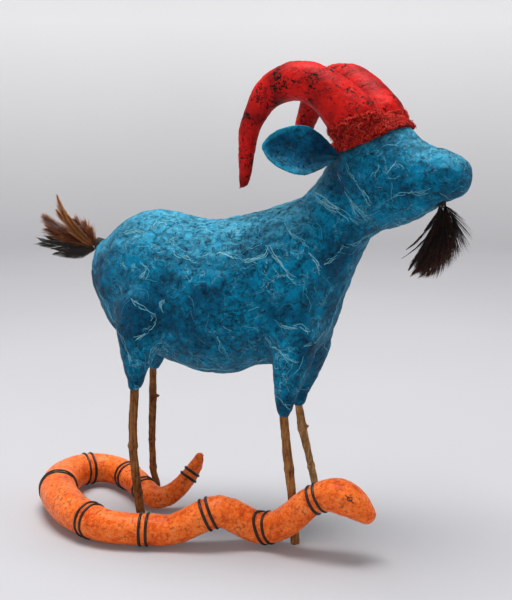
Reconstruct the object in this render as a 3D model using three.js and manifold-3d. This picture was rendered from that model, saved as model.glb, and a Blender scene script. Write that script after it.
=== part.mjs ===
// A folk-art papier-mache goat on four twig legs, with ram horns, leaf ears, a feather tail and a feather
// beard, and a loose papier-mache snake that winds between its legs. Millimetres, +Z up, the goat faces +X.
// Each paper form is a loft of elliptical rings; wires, sticks and quills sit in bores cut with a clearance.
import * as THREE from "three";
import { mergeVertices } from "three/addons/utils/BufferGeometryUtils.js";
import Module from "manifold-3d";

const wasm = await Module();
wasm.setup();

// ---------------------------------------------------------------- driving dimensions
const GAP = 0.35; // clearance between pieces that touch
const STUFF_GAP = 2; // between the stuffing and the shell round it
const FACET_SLACK = 0.06; // faces this close to flat are joined
const PAPER_WALL = 3.5; // papier-mache shell of torso and head

const TORSO_LENGTH = 168; // rump to shoulder
const TORSO_HEIGHT = 131; // back to belly at its deepest
const TORSO_WIDTH = 114;
const BELLY_HEIGHT = 130; // floor to the belly's lowest point
const SHOULDER_X = 34; // front pair of legs
const HIP_X = SHOULDER_X - Math.round(0.744 * TORSO_LENGTH); // rear pair of legs
const LEG_Y = 46; // legs stand this far each side of the middle
const TWIG_R = 3.9;
const TWIG_HIDDEN = 62; // length of twig inside its wrap and the torso
const WRAP_CUFF = 1.3; // paper over the twig at the wrap's lower edge

const NECK_LENGTH = 88; // shoulder to poll
const HEAD_LENGTH = 118;
const HEAD_HEIGHT = 91;
const HEAD_WIDTH = 64;
const HEAD_TURN = 23; // degrees towards the goat's right
const HORN_REACH = 94; // base to the back of the curl
const HORN_RISE = 52; // base to the top of the curl
const HORN_R = 19;
const HORN_SPREAD = 21; // middle of a horn's base from the head's middle
const EAR_LENGTH = 62;
const EAR_WIDTH = 39;
const EAR_THICK = 2;
const RUFF_THICK = 4;
const RUFF_LEAN = 22; // degrees that the ruff's lower edge rises towards the forehead
const WIRE_R = 1.2; // armature wire
const STICK_R = 4; // neck stick
const QUILL_R = 5.5; // bound quills of the tail
const QUILL_LENGTH = 24;
const FEATHER_THICK = 1.2;
const QUILL_TIP = 1.1; // half width of a feather where it leaves its binding
const FEATHER_LAYER = 2.1; // spacing of the feathers side by side
const TAIL_LENGTH = 52;
const BEARD_LENGTH = 58;

const SNAKE_R = 13.3; // thickest part of the front run
const SNAKE_GAP = 3; // between the snake's flank and a leg that it passes
const BAND_CORD = 2.2; // width of one cord on the snake
const BAND_PROUD = 1.5; // how far a cord stands out of the paper
const BAND_STEP = 5.6; // between the two cords of a band

// ---------------------------------------------------------------- helpers
const V = (x, y, z) => new THREE.Vector3(x, y, z);
const radians = THREE.MathUtils.degToRad;

const paint = (color, roughness, metalness = 0) =>
  new THREE.MeshStandardMaterial({ color, roughness, metalness });
const TEAL_PAPER = paint(0x135e79, 0.85);
const RED_PAPER = paint(0xa8241f, 0.8);
const RED_FIBRE = paint(0xb3201a, 0.95);
const ORANGE_PAPER = paint(0xd96d3f, 0.6);
const NEWSPRINT = paint(0xb9b2a2, 0.95);
const TWIG_BARK = paint(0x7a5c3a, 0.85);
const BLACK_CORD = paint(0x101010, 0.5);
const STEEL_WIRE = paint(0x8a8c8e, 0.4, 1);
const THREAD = paint(0x2a1c14, 0.9);
const BROWN_FEATHER = paint(0x7a3c14, 0.6);
const BLACK_FEATHER = paint(0x0d0a08, 0.5);

/** Closed BufferGeometry from rings of points and a pole at each end. */
function skin(rings, poles) {
  const sides = rings[0].length;
  const points = [...rings.flat(), ...poles];
  const at = (ring, side) => ring * sides + (side % sides);
  const faces = [];
  for (let s = 0; s < sides; s++) {
    faces.push(points.length - 2, at(0, s + 1), at(0, s));
    faces.push(points.length - 1, at(rings.length - 1, s), at(rings.length - 1, s + 1));
    for (let r = 0; r + 1 < rings.length; r++) {
      faces.push(at(r, s), at(r, s + 1), at(r + 1, s + 1));
      faces.push(at(r, s), at(r + 1, s + 1), at(r + 1, s));
    }
  }
  const geometry = new THREE.BufferGeometry().setFromPoints(points);
  geometry.setIndex(faces);
  return geometry;
}

/**
 * Loft through stations {at, tall, wide, lean}: a ring's tall axis leans by `lean` degrees from +X in the XZ
 * plane, or follows the line's own frames when `swept`. `ends` are the depths of the two rounded ends.
 */
function loft({ stations, ends = [0, 0], swept = false, sub = 2, sides = 16, round = 3 }, grow = 0) {
  const line = new THREE.CatmullRomCurve3(stations.map((s) => s.at));
  const sizes = new THREE.CatmullRomCurve3(
    stations.map((s) => V(s.tall, s.wide ?? s.tall, s.lean ?? 90)),
    false,
    "catmullrom",
  );
  const steps = (stations.length - 1) * sub;
  const frames = swept ? sweptFrames(line, steps) : null;
  const rings = [];
  const ring = (centre, tall, wide, up, across) =>
    rings.push(
      Array.from({ length: sides }, (_, k) => {
        const turn = (2 * Math.PI * k) / sides;
        return centre
          .clone()
          .addScaledVector(up, Math.max(0.1, tall) * Math.cos(turn))
          .addScaledVector(across, Math.max(0.1, wide) * Math.sin(turn));
      }),
    );
  const axes = (i, lean) =>
    swept
      ? [frames[i].up, frames[i].across]
      : [V(Math.cos(radians(lean)), 0, Math.sin(radians(lean))), V(0, 1, 0)];
  const poles = [];
  for (let i = 0; i <= steps; i++) {
    const centre = line.getPoint(i / steps);
    const size = sizes.getPoint(i / steps);
    const [up, across] = axes(i, size.z);
    const [tall, wide] = [size.x + grow, size.y + grow];
    const end = i === 0 ? 0 : i === steps ? 1 : null;
    if (end === null) {
      ring(centre, tall, wide, up, across);
      continue;
    }
    const out = line.getTangent(end).multiplyScalar(end ? 1 : -1);
    const depth = ends[end] + (ends[end] ? grow : 0);
    const arc = depth ? Array.from({ length: round }, (_, k) => (k / round) * (Math.PI / 2)) : [0];
    for (const angle of end ? arc : arc.reverse()) {
      const tip = centre.clone().addScaledVector(out, depth * Math.sin(angle));
      ring(tip, tall * Math.cos(angle), wide * Math.cos(angle), up, across);
    }
    poles[end] = centre.clone().addScaledVector(out, depth);
  }
  return skin(rings, poles);
}

/** Frames along a line whose `up` is carried along without twisting. */
function sweptFrames(line, steps) {
  const frames = [];
  let up = V(0, 0, 1);
  for (let i = 0; i <= steps; i++) {
    const ahead = line.getTangent(i / steps);
    if (i === 0 && Math.abs(ahead.z) > 0.9) up = V(1, 0, 0);
    up = up.clone().addScaledVector(ahead, -up.dot(ahead)).normalize();
    frames.push({ up, across: V(0, 0, 0).crossVectors(ahead, up), ahead });
  }
  return frames;
}

/** Manifold solid of a closed geometry, with its faces pointing out. */
function solid(geometry, matrix = new THREE.Matrix4()) {
  const bare = (geometry.index ? geometry.toNonIndexed() : geometry.clone()).applyMatrix4(matrix);
  for (const name of Object.keys(bare.attributes)) {
    if (name !== "position") bare.deleteAttribute(name);
  }
  const merged = mergeVertices(bare, 1e-4);
  const made = (triVerts) =>
    new wasm.Manifold(
      new wasm.Mesh({ numProp: 3, vertProperties: merged.attributes.position.array, triVerts }),
    );
  const faces = new Uint32Array(merged.index.array);
  const first = made(faces);
  if (first.volume() > 0) return first;
  return made(faces.slice().reverse());
}

/** Named mesh of a solid. */
function mesh(name, shape, material, group) {
  const { vertProperties, triVerts, numProp } = shape.simplify(FACET_SLACK).getMesh();
  const positions = new Float32Array((vertProperties.length / numProp) * 3);
  for (let i = 0; i < positions.length / 3; i++) {
    positions.set(vertProperties.subarray(i * numProp, i * numProp + 3), i * 3);
  }
  const geometry = new THREE.BufferGeometry();
  geometry.setAttribute("position", new THREE.BufferAttribute(positions, 3));
  geometry.setIndex(new THREE.BufferAttribute(triVerts, 1));
  geometry.computeVertexNormals();
  const made = new THREE.Mesh(geometry, material);
  made.name = name;
  group.add(made);
  return made;
}

const cut = (shape, ...tools) => tools.reduce((left, tool) => left.subtract(tool), shape);

/** Matrix that carries one group's frame into another's. */
function between(from, to) {
  from.updateWorldMatrix(true, false);
  to.updateWorldMatrix(true, false);
  return to.matrixWorld.clone().invert().multiply(from.matrixWorld);
}

function childGroup(parent, place, turn = null) {
  const group = new THREE.Group();
  group.position.copy(place);
  if (turn) group.rotation.copy(turn);
  parent.add(group);
  return group;
}

const figure = new THREE.Group();
const goat = childGroup(figure, V(0, 0, 0));

// ---------------------------------------------------------------- torso and neck
const RUMP_X = HIP_X - 0.256 * TORSO_LENGTH; // back of the first ring
const TORSO_TOP = BELLY_HEIGHT + TORSO_HEIGHT / 2;
const HALF_H = TORSO_HEIGHT / 2;
const HALF_W = TORSO_WIDTH / 2;

// share of length, rise of the middle over the deepest ring's, shares of half height and half width, lean
const TORSO_RINGS = [
  [0.0, 17, 0.33, 0.36, 90],
  [0.062, 11.5, 0.6, 0.61, 90],
  [0.155, 11.3, 0.8, 0.77, 90],
  [0.284, 10, 0.928, 0.88, 90],
  [0.401, 5, 0.973, 0.95, 90],
  [0.552, -1.5, 0.985, 1.0, 90],
  [0.703, 0.3, 1.0, 1.0, 90],
  [0.822, 7.5, 0.977, 0.95, 90],
  [0.968, 11, 1.02, 0.87, 96],
];
// share of neck length along its line, half thickness, half width, lean
const NECK_RINGS = [
  [0.28, 59, 46, 103],
  [0.55, 46, 37, 108],
  [0.8, 37.5, 32, 115],
  [1.0, 33.5, 29.5, 123],
  [1.2, 27, 25, 128],
];
const neckLine = (share) =>
  V(
    SHOULDER_X + NECK_LENGTH * (0.032 + 0.471 * share),
    0,
    TORSO_TOP + NECK_LENGTH * (0.011 + 0.915 * share),
  );
const torsoRings = [
  ...TORSO_RINGS.map(([share, rise, tall, wide, lean]) => ({
    at: V(RUMP_X + share * TORSO_LENGTH, 0, TORSO_TOP + rise * (TORSO_HEIGHT / 131)),
    tall: tall * HALF_H,
    wide: wide * HALF_W,
    lean,
  })),
  ...NECK_RINGS.map(([share, tall, wide, lean]) => ({ at: neckLine(share), tall, wide, lean })),
];
const torsoForm = { stations: torsoRings, ends: [7, 0], sides: 20 };
const torsoHollow = { stations: torsoRings, ends: [7, 6], sides: 14, sub: 1 };
const coreForm = { stations: torsoRings.slice(1, 10), ends: [10, 12], sides: 14, sub: 1 };

// ---------------------------------------------------------------- legs
// A leg's twig bends through [rise, forward, outward] from its foot; knots are [rise, swell].
const LEGS = {
  rear_right: {
    x: HIP_X + 4,
    y: -LEG_Y,
    thick: 1.0,
    bends: [[15, -1, 0], [43, -4.3, 0.5], [69, -6.6, 1], [94, -6.4, 1.5], [121, -4.4, 2]],
    haunch: [[16, 9.7, 1], [31, 14.8, 2], [47, 20.5, 3.5], [64, 26, 6], [82, 28, 9]],
    knots: [],
  },
  rear_left: {
    x: HIP_X - 13,
    y: LEG_Y + 11,
    thick: 0.85,
    bends: [[11, -1, -1], [22, -3.4, -3], [51, -3.7, -5], [89, -1.5, -8], [118, 0, -11]],
    haunch: [[16, 9.5, 3], [33, 14.5, 7], [49, 20.5, 12], [66, 26, 17], [84, 28, 22]],
    knots: [[96, 1.15]],
  },
  front_right: {
    x: SHOULDER_X + 8,
    y: -LEG_Y + 1,
    thick: 1.0,
    bends: [[20, -1, 0], [43, -3, 0], [64, -5.6, 0], [85, -8, 0], [105, -9.6, 0]],
    haunch: [[13, 8.2, 0.5], [30, 12.6, 3], [47, 17.5, 5], [65, 21, 6], [85, 24, 5], [107, 24, 2]],
    knots: [[64, 1.13]],
  },
  front_left: {
    x: SHOULDER_X + 12,
    y: LEG_Y + 8,
    thick: 0.9,
    bends: [[10, -2, -0.5], [29, -5.5, -2], [50, -10, -4], [73, -15, -6], [92, -17.5, -8]],
    haunch: [[13, 8, 1], [30, 12.5, 5], [50, 18, 9], [72, 22, 11], [95, 24, 10], [118, 24, 7]],
    knots: [[73, 1.3]],
  },
};

function legForms(leg) {
  const outward = Math.sign(leg.y);
  const radius = TWIG_R * leg.thick;
  const bend = leg.bends.map(([rise, forward, out]) => V(forward, out * outward, rise));
  const top = bend.at(-1);
  const before = bend.at(-2);
  const lead = top.clone().sub(before).normalize();
  const inward = V(lead.x + 0.05, -0.1 * outward, 1).normalize();
  const swell = (rise) => leg.knots.reduce((s, [at, k]) => (Math.abs(at - rise) < 8 ? k : s), 1);
  const twig = {
    stations: [
      { at: V(0, 0, -3), tall: radius * 1.04 },
      ...bend.map((at) => ({ at, tall: radius * swell(at.z) })),
      { at: top.clone().addScaledVector(inward, TWIG_HIDDEN * 0.5), tall: radius * 0.97 },
      { at: top.clone().addScaledVector(inward, TWIG_HIDDEN), tall: radius * 0.9 },
    ],
    swept: true,
    sub: 1,
    sides: 8,
  };
  const wrap = {
    stations: [
      { at: top.clone(), tall: radius + WRAP_CUFF },
      ...leg.haunch.map(([rise, r, forward], i) => ({
        at: V(top.x + forward, top.y - outward * Math.min(24, 0.0034 * rise * rise), top.z + rise),
        tall: Math.max(r, radius + WRAP_CUFF + 2 * (i + 1)),
      })),
    ],
    ends: [0, 16],
    swept: true,
    sub: 1,
    sides: 14,
  };
  return { twig, wrap };
}

const legParts = Object.entries(LEGS).map(([name, leg]) => {
  const group = childGroup(goat, V(leg.x, leg.y, 0));
  return { name, leg, group, ...legForms(leg) };
});

// ---------------------------------------------------------------- head
const headTop = neckLine(1.0);
const head = childGroup(goat, V(headTop.x, 0, headTop.z), new THREE.Euler(0, 0, -radians(HEAD_TURN)));
const HH = HEAD_HEIGHT / 2;
const HW = HEAD_WIDTH / 2;
// share of length, rise of the ring's middle, shares of half height and half width
const HEAD_RINGS = [
  [-0.075, 24, 0.42, 0.5],
  [0.01, 20, 0.74, 0.8],
  [0.08, 17, 0.92, 0.94],
  [0.155, 16, 1.0, 1.0],
  [0.235, 19, 0.955, 1.0],
  [0.325, 21, 0.935, 0.96],
  [0.415, 20.5, 0.85, 0.89],
  [0.46, 19, 0.765, 0.84],
  [0.55, 18, 0.615, 0.75],
  [0.635, 19.5, 0.525, 0.67],
  [0.72, 21, 0.445, 0.6],
  [0.79, 21, 0.37, 0.53],
];
const headRings = HEAD_RINGS.map(([share, rise, tall, wide]) => ({
  at: V(share * HEAD_LENGTH, 0, rise),
  tall: tall * HH,
  wide: wide * HW,
  lean: 90,
}));
const headForm = { stations: headRings, ends: [6, 11], sides: 20 };
const headHollow = { stations: headRings, ends: [6, 11], sides: 12, sub: 1 };
const headCore = { stations: headRings.slice(2, 8), ends: [10, 10], sides: 12, sub: 1 };
const headRise = (share) => headRings[3].at.z + share * HH;

// neck stick, from the torso's stuffing into the head's
const stickForm = {
  stations: [
    { at: neckLine(-0.25), tall: STICK_R },
    { at: neckLine(0.5), tall: STICK_R },
    { at: neckLine(1.0).add(V(4, -1, 6)), tall: STICK_R },
    { at: neckLine(1.25).add(V(8, -5, 4)), tall: STICK_R },
  ],
  swept: true,
  sides: 8,
};

// ---------------------------------------------------------------- horns
// share of reach behind the base, share of rise, share of radius, how far the horn has swung outward
const HORN_RINGS = [
  [-0.19, -0.58, 0.75, -7],
  [0.0, 0.0, 1.08, 0],
  [0.195, 0.37, 0.95, 6],
  [0.365, 0.56, 0.9, 10],
  [0.53, 0.58, 0.86, 12.5],
  [0.665, 0.5, 0.79, 15],
  [0.782, 0.335, 0.68, 17],
  [0.863, 0.09, 0.55, 18.5],
  [0.925, -0.15, 0.495, 19.5],
  [0.943, -0.405, 0.455, 20],
];
// the horns are shaped by hand: the left one ends shorter
const HORN_TIPS = {
  right: [[0.95, -0.71, 0.385, 20.5], [0.968, -0.95, 0.32, 21], [0.985, -1.1, 0.245, 21]],
  left: [[0.955, -0.6, 0.36, 20.5], [0.97, -0.78, 0.25, 21]],
};
const HORN_BASE = V(15, 0, headRise(1.05));
function hornForms(name, side) {
  const point = ([back, up, r, out]) => ({
    at: V(HORN_BASE.x - back * HORN_REACH, side * (HORN_SPREAD + out), HORN_BASE.z + up * HORN_RISE),
    tall: r * HORN_R * (r > 1 ? 1.1 : 1),
    wide: Math.min(r * HORN_R, HORN_SPREAD + out - 2 * GAP),
  });
  const stations = [...HORN_RINGS, ...HORN_TIPS[name]].map(point);
  return {
    horn: { stations, ends: [2, 7], swept: true, sides: 14, sub: 1 },
    wire: {
      stations: stations.slice(0, -1).map(({ at }) => ({ at, tall: WIRE_R })),
      ends: [0, 0],
      swept: true,
      sides: 6,
      sub: 1,
    },
  };
}

// ---------------------------------------------------------------- ears
/** A cupped leaf along +X: a curved sheet EAR_THICK thick, pinched to a stalk at its root. */
function earGeometry() {
  const along = 12;
  const across = 8;
  const half = (t) => (EAR_WIDTH / 2) * Math.sin(Math.PI * t ** 0.85) ** 0.62;
  const face = (offset) =>
    Array.from({ length: along + 1 }, (_, i) => {
      const t = i / along;
      const w = Math.max(i === along ? 1.5 : 4.2, half(t));
      return Array.from({ length: across + 1 }, (_, j) => {
        const s = (2 * j) / across - 1;
        const cup = (1 - 0.55 * t) * 0.42 * w * s * s;
        return V(t * EAR_LENGTH, cup + offset - 3 * t * t, s * w);
      });
    });
  const [inner, outer] = [face(-EAR_THICK / 2), face(EAR_THICK / 2)];
  const points = [...inner.flat(), ...outer.flat()];
  const at = (layer, i, j) => layer * (along + 1) * (across + 1) + i * (across + 1) + j;
  const faces = [];
  const quad = (a, b, c, d) => faces.push(a, b, c, a, c, d);
  for (let i = 0; i < along; i++) {
    for (let j = 0; j < across; j++) {
      quad(at(0, i, j), at(0, i + 1, j), at(0, i + 1, j + 1), at(0, i, j + 1));
      quad(at(1, i, j), at(1, i, j + 1), at(1, i + 1, j + 1), at(1, i + 1, j));
    }
    quad(at(0, i, 0), at(1, i, 0), at(1, i + 1, 0), at(0, i + 1, 0));
    quad(at(0, i, across), at(0, i + 1, across), at(1, i + 1, across), at(1, i, across));
  }
  for (let j = 0; j < across; j++) {
    quad(at(0, 0, j), at(0, 0, j + 1), at(1, 0, j + 1), at(1, 0, j));
    quad(at(0, along, j), at(1, along, j), at(1, along, j + 1), at(0, along, j + 1));
  }
  const geometry = new THREE.BufferGeometry().setFromPoints(points);
  geometry.setIndex(faces);
  return geometry;
}
const EAR_OUT = 53; // degrees that an ear stands out from straight back
const EAR_UP = 8; // degrees that it rises
const EAR_TILT = 12; // degrees that its hollow turns upwards
const earGroup = (side) =>
  childGroup(
    head,
    V(3, side * (HW - 5), headRise(0.42)),
    new THREE.Euler(
      radians(side > 0 ? 180 - EAR_TILT : EAR_TILT),
      -radians(EAR_UP),
      radians(180 - side * EAR_OUT),
      "ZYX",
    ),
  );

// ---------------------------------------------------------------- feathers
/** Flat feather in the XZ plane of its group: it leaves the origin along +X and sweeps to its tip. */
function featherGeometry({ tip, width, layer }) {
  const end = new THREE.Vector2(...tip);
  const length = end.length();
  const out = end.clone().normalize();
  const side = new THREE.Vector2(-out.y, out.x);
  const bulge = (share, k) => out.clone().multiplyScalar(share * length).addScaledVector(side, k * width);
  const shape = new THREE.Shape();
  shape.moveTo(0, QUILL_TIP);
  shape.bezierCurveTo(4, QUILL_TIP, ...bulge(0.4, 0.9), ...bulge(0.62, 0.55));
  shape.quadraticCurveTo(...bulge(0.85, 0.4), ...end.toArray());
  shape.quadraticCurveTo(...bulge(0.85, -0.4), ...bulge(0.62, -0.55));
  shape.bezierCurveTo(...bulge(0.4, -0.9), 4, -QUILL_TIP, 0, -QUILL_TIP);
  shape.closePath();
  const settings = { depth: FEATHER_THICK, bevelEnabled: false, curveSegments: 4 };
  const geometry = new THREE.ExtrudeGeometry(shape, settings);
  const place = layer * FEATHER_LAYER + FEATHER_THICK / 2;
  return geometry.applyMatrix4(new THREE.Matrix4().makeRotationX(Math.PI / 2)).translate(0, place, 0);
}

// ---------------------------------------------------------------- goat: cut the pieces to each other
const TAIL_RISE = 14; // degrees
const tailGroup = childGroup(
  goat,
  V(RUMP_X - 4, 0, TORSO_TOP + 0.62 * HALF_H),
  new THREE.Euler(0, -radians(TAIL_RISE), Math.PI, "ZYX"),
);
const bindingForm = {
  stations: [
    { at: V(-QUILL_LENGTH, 0, 0), tall: QUILL_R * 0.7 },
    { at: V(-QUILL_LENGTH / 2, 0, 0), tall: QUILL_R },
    { at: V(0, 0, 0), tall: QUILL_R },
  ],
  swept: true,
  sides: 10,
  sub: 1,
};
const beardGroup = childGroup(head, V(0.685 * HEAD_LENGTH, 0, headRings[10].at.z - 0.47 * HH - 1));
const beardBindingForm = {
  stations: [
    { at: V(0, 0, 9), tall: 2.6 },
    { at: V(0, 0, 0), tall: 3.4 },
  ],
  swept: true,
  sides: 10,
  sub: 1,
};

const horns = [
  ["right", -1],
  ["left", 1],
].map(([name, side]) => ({ name, side, ...hornForms(name, side) }));

function buildTorso() {
  const twigs = legParts.map((part) =>
    solid(loft({ ...part.twig, ends: [0, 1] }, GAP), between(part.group, goat)),
  );
  const binding = solid(loft({ ...bindingForm, ends: [1, 30] }, GAP), between(tailGroup, goat));
  const stick = solid(loft({ ...stickForm, ends: [1, 1] }, GAP));
  const outer = solid(loft(torsoForm));
  const hollow = solid(loft(torsoHollow, -PAPER_WALL));
  mesh("torso_shell", cut(outer, hollow, ...twigs, binding), TEAL_PAPER, goat);
  const core = solid(loft(coreForm, -PAPER_WALL - STUFF_GAP));
  mesh("torso_stuffing", cut(core, ...twigs, binding, stick), NEWSPRINT, goat);
  mesh("neck_stick", solid(loft(stickForm)), TWIG_BARK, goat);
}

function buildLegs() {
  for (const { name, group, twig, wrap } of legParts) {
    const bore = solid(loft({ ...twig, ends: [0, 1] }, GAP));
    const torso = solid(loft(torsoForm, GAP), between(goat, group));
    mesh(`${name}_leg_wrap`, cut(solid(loft(wrap)), bore, torso), TEAL_PAPER, group);
    mesh(`${name}_leg_twig`, solid(loft(twig)).trimByPlane([0, 0, 1], 0), TWIG_BARK, group);
  }
}

/** What is left of a solid above the ruff's lower edge, a plane that leans back, moved down by grow. */
function aboveRuffEdge(shape, grow) {
  const up = [-Math.sin(radians(RUFF_LEAN)), 0, Math.cos(radians(RUFF_LEAN))];
  const edge = V(9, 0, headRise(0.56));
  return shape.trimByPlane(up, edge.dot(V(...up)) - grow);
}

/** The ruff before it is cut to the skull: a thick skin over it. */
const ruffBlock = (grow) => aboveRuffEdge(solid(loft(headForm, RUFF_THICK + grow)), grow);

/** A horn or its wire, whose root ends level with the ruff's lower edge. */
const rooted = (form, grow = 0) => aboveRuffEdge(solid(loft(form, grow)), grow);

function buildHead() {
  const toHead = between(goat, head);
  const neck = solid(loft({ ...torsoForm, ends: [7, 1] }, GAP), toHead);
  const stick = solid(loft({ ...stickForm, ends: [1, 1] }, GAP), toHead);
  const beard = solid(loft({ ...beardBindingForm, ends: [1, 6] }, GAP), between(beardGroup, head));
  const outer = solid(loft(headForm));
  const hollow = solid(loft(headHollow, -PAPER_WALL));
  const roots = horns.map(({ horn }) => rooted(horn, GAP));
  mesh("head_shell", cut(outer, hollow, neck, beard, ...roots), TEAL_PAPER, head);
  const core = solid(loft(headCore, -PAPER_WALL - STUFF_GAP));
  mesh("head_stuffing", cut(core, neck, stick, beard, ...roots), NEWSPRINT, head);
  mesh("horn_ruff", cut(ruffBlock(0), solid(loft(headForm, GAP)), neck, ...roots), RED_FIBRE, head);
  for (const { name, horn, wire } of horns) {
    const bore = solid(loft({ ...wire, ends: [3, 1] }, GAP));
    mesh(`horn_${name}`, cut(rooted(horn), bore, stick, neck), RED_PAPER, head);
    mesh(`horn_wire_${name}`, cut(rooted(wire), stick, neck), STEEL_WIRE, head);
  }
  mesh("beard_binding", solid(loft(beardBindingForm)), THREAD, beardGroup);
}

function buildEars() {
  for (const { name, side } of horns) {
    const group = earGroup(side);
    const skull = solid(loft(headForm, GAP), between(head, group));
    const ruff = ruffBlock(GAP).transform(between(head, group).elements);
    const neck = solid(loft(torsoForm, GAP), between(goat, group));
    mesh(`ear_${name}`, cut(solid(earGeometry()), skull, ruff, neck), TEAL_PAPER, group);
  }
}

const along = (reach, out, up) => [reach * out, reach * up];

function buildTail() {
  mesh("tail_binding", solid(loft(bindingForm)), THREAD, tailGroup);
  const tuft = childGroup(tailGroup, V(2 * GAP, 0, 0));
  const feathers = {
    tail_feather_black_long: { tip: along(TAIL_LENGTH, 0.87, -0.25), width: 9, layer: -1.5 },
    tail_feather_brown_broad: { tip: along(TAIL_LENGTH, 0.86, 0.13), width: 11, layer: -0.5 },
    tail_feather_brown_hackle: { tip: along(TAIL_LENGTH, 0.7, 0.51), width: 5, layer: 0.5 },
    tail_feather_black_short: { tip: along(TAIL_LENGTH, 0.58, -0.31), width: 7, layer: 1.5 },
  };
  for (const [name, shape] of Object.entries(feathers)) {
    mesh(name, solid(featherGeometry(shape)), name.includes("black") ? BLACK_FEATHER : BROWN_FEATHER, tuft);
  }
}

function buildBeard() {
  // the beard's own +X points down
  const tuft = childGroup(beardGroup, V(0, 0, -2 * GAP), new THREE.Euler(0, Math.PI / 2, 0));
  const feathers = {
    beard_feather_right: { tip: along(BEARD_LENGTH, 0.84, -0.5), width: 10, layer: -1 },
    beard_feather_middle: { tip: along(BEARD_LENGTH, 0.93, -0.25), width: 12, layer: 0 },
    beard_feather_left: { tip: along(BEARD_LENGTH, 0.9, -0.1), width: 10, layer: 1 },
  };
  for (const [name, shape] of Object.entries(feathers)) {
    mesh(name, solid(featherGeometry(shape)), BLACK_FEATHER, tuft);
  }
}

// ---------------------------------------------------------------- snake
const snake = childGroup(figure, V(0, 0, 0));
const FRONT_LINE = LEGS.front_right.y - TWIG_R - SNAKE_R - SNAKE_GAP; // passes the front leg
const BACK_LINE = LEGS.rear_left.y - 1.5 * (TWIG_R + SNAKE_R + SNAKE_GAP); // slants round the far rear leg
const LOOP_X = HIP_X - 93; // back of the loop
// from the tail tip round the loop to the head: x, y, height of the underside, thickness, width
const onFloor = BAND_PROUD; // it lies on the cords tied round it
const SNAKE_ROUTE = [
  [HIP_X + 34, BACK_LINE + 3, 43, 0.3],
  [HIP_X + 31, BACK_LINE + 1.5, 32, 0.49],
  [HIP_X + 24, BACK_LINE - 3, 19, 0.6],
  [HIP_X + 14, BACK_LINE - 10, 7.2, 0.67],
  [HIP_X + 3, BACK_LINE - 15, onFloor, 0.73],
  [HIP_X - 6, BACK_LINE - 12, onFloor, 0.78],
  [HIP_X - 16, BACK_LINE, onFloor, 0.83],
  [HIP_X - 29, BACK_LINE + 18, onFloor, 0.89],
  [HIP_X - 44, BACK_LINE + 34.5, onFloor, 0.95],
  [HIP_X - 57, BACK_LINE + 44, onFloor, 1.0],
  [HIP_X - 72, BACK_LINE + 48, onFloor, 1.03],
  [HIP_X - 87, BACK_LINE + 40, onFloor, 1.08],
  [LOOP_X, BACK_LINE + 18, onFloor, 1.16],
  [LOOP_X + 1, BACK_LINE - 10, onFloor, 1.22],
  [LOOP_X + 12, FRONT_LINE + 50, onFloor, 1.25],
  [LOOP_X + 34, FRONT_LINE + 18, onFloor, 1.2],
  [LOOP_X + 54, FRONT_LINE - 0.5, onFloor, 1.13],
  [LOOP_X + 72, FRONT_LINE - 10.5, onFloor, 1.05],
  [LOOP_X + 87, FRONT_LINE - 13.5, onFloor, 1.01],
  [HIP_X + 10, FRONT_LINE - 12.5, onFloor, 0.99],
  [HIP_X + 25, FRONT_LINE - 10.5, onFloor, 0.98],
  [HIP_X + 37, FRONT_LINE - 8.5, onFloor + 0.5, 0.96],
  [HIP_X + 50, FRONT_LINE - 7.5, 7.6, 0.97],
  [HIP_X + 63, FRONT_LINE - 5.5, 14, 1.0],
  [HIP_X + 76, FRONT_LINE - 2, 17.8, 1.0],
  [HIP_X + 90, FRONT_LINE + 4.5, 10, 1.01],
  [SHOULDER_X - 20, FRONT_LINE + 10, onFloor, 1.0],
  [SHOULDER_X - 6, FRONT_LINE + 6.5, 5.4, 0.97],
  [SHOULDER_X + 7, FRONT_LINE, 15, 0.96],
  [SHOULDER_X + 17, FRONT_LINE - 3, 25.4, 0.94],
  [SHOULDER_X + 28, FRONT_LINE - 5, 36, 0.86],
  [SHOULDER_X + 39, FRONT_LINE - 6, 38, 1.0, 1.1],
  [SHOULDER_X + 49, FRONT_LINE - 7, 36.8, 1.09, 1.24],
  [SHOULDER_X + 57, FRONT_LINE - 7.5, 34.6, 1.0, 1.16],
  [SHOULDER_X + 65, FRONT_LINE - 8, 31.4, 0.79, 0.95],
  [SHOULDER_X + 71, FRONT_LINE - 8.5, 29.6, 0.54, 0.72],
];
const snakeRings = SNAKE_ROUTE.map(([x, y, lift, thick, wide]) => ({
  at: V(x, y, lift + thick * SNAKE_R),
  tall: thick * SNAKE_R,
  wide: (wide ?? thick) * SNAKE_R,
}));
const snakeForm = { stations: snakeRings, ends: [3.4, 5], swept: true, sides: 12, sub: 2 };
const snakeWire = {
  stations: snakeRings.slice(0, -2).map(({ at }) => ({ at, tall: WIRE_R })),
  swept: true,
  sides: 5,
  sub: 1,
};
// where each pair of cords goes round the snake: places along its line, in stations from the tail tip
const BANDS = [1.7, 6.05, 7.85, 10.8, 13.6, 16.35, 19.35, 23.3, 26.5, 30.1];

const snakeLine = new THREE.CatmullRomCurve3(snakeRings.map((ring) => ring.at));

/** Two thin discs across the snake, which mark where the cords of one band run. */
function bandDiscs(place) {
  const share = place / (snakeRings.length - 1);
  const ahead = snakeLine.getTangent(share);
  const turn = new THREE.Quaternion().setFromUnitVectors(V(0, 1, 0), ahead);
  const reach = 1.5 * Math.max(snakeRings[Math.floor(place)].wide, snakeRings[Math.ceil(place)].wide);
  return [-1, 1].map((side) => {
    const centre = snakeLine.getPoint(share).addScaledVector(ahead, (side * BAND_STEP) / 2);
    const cord = new THREE.CylinderGeometry(reach, reach, BAND_CORD, 16);
    return cord.applyQuaternion(turn).translate(...centre.toArray());
  });
}

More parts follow.
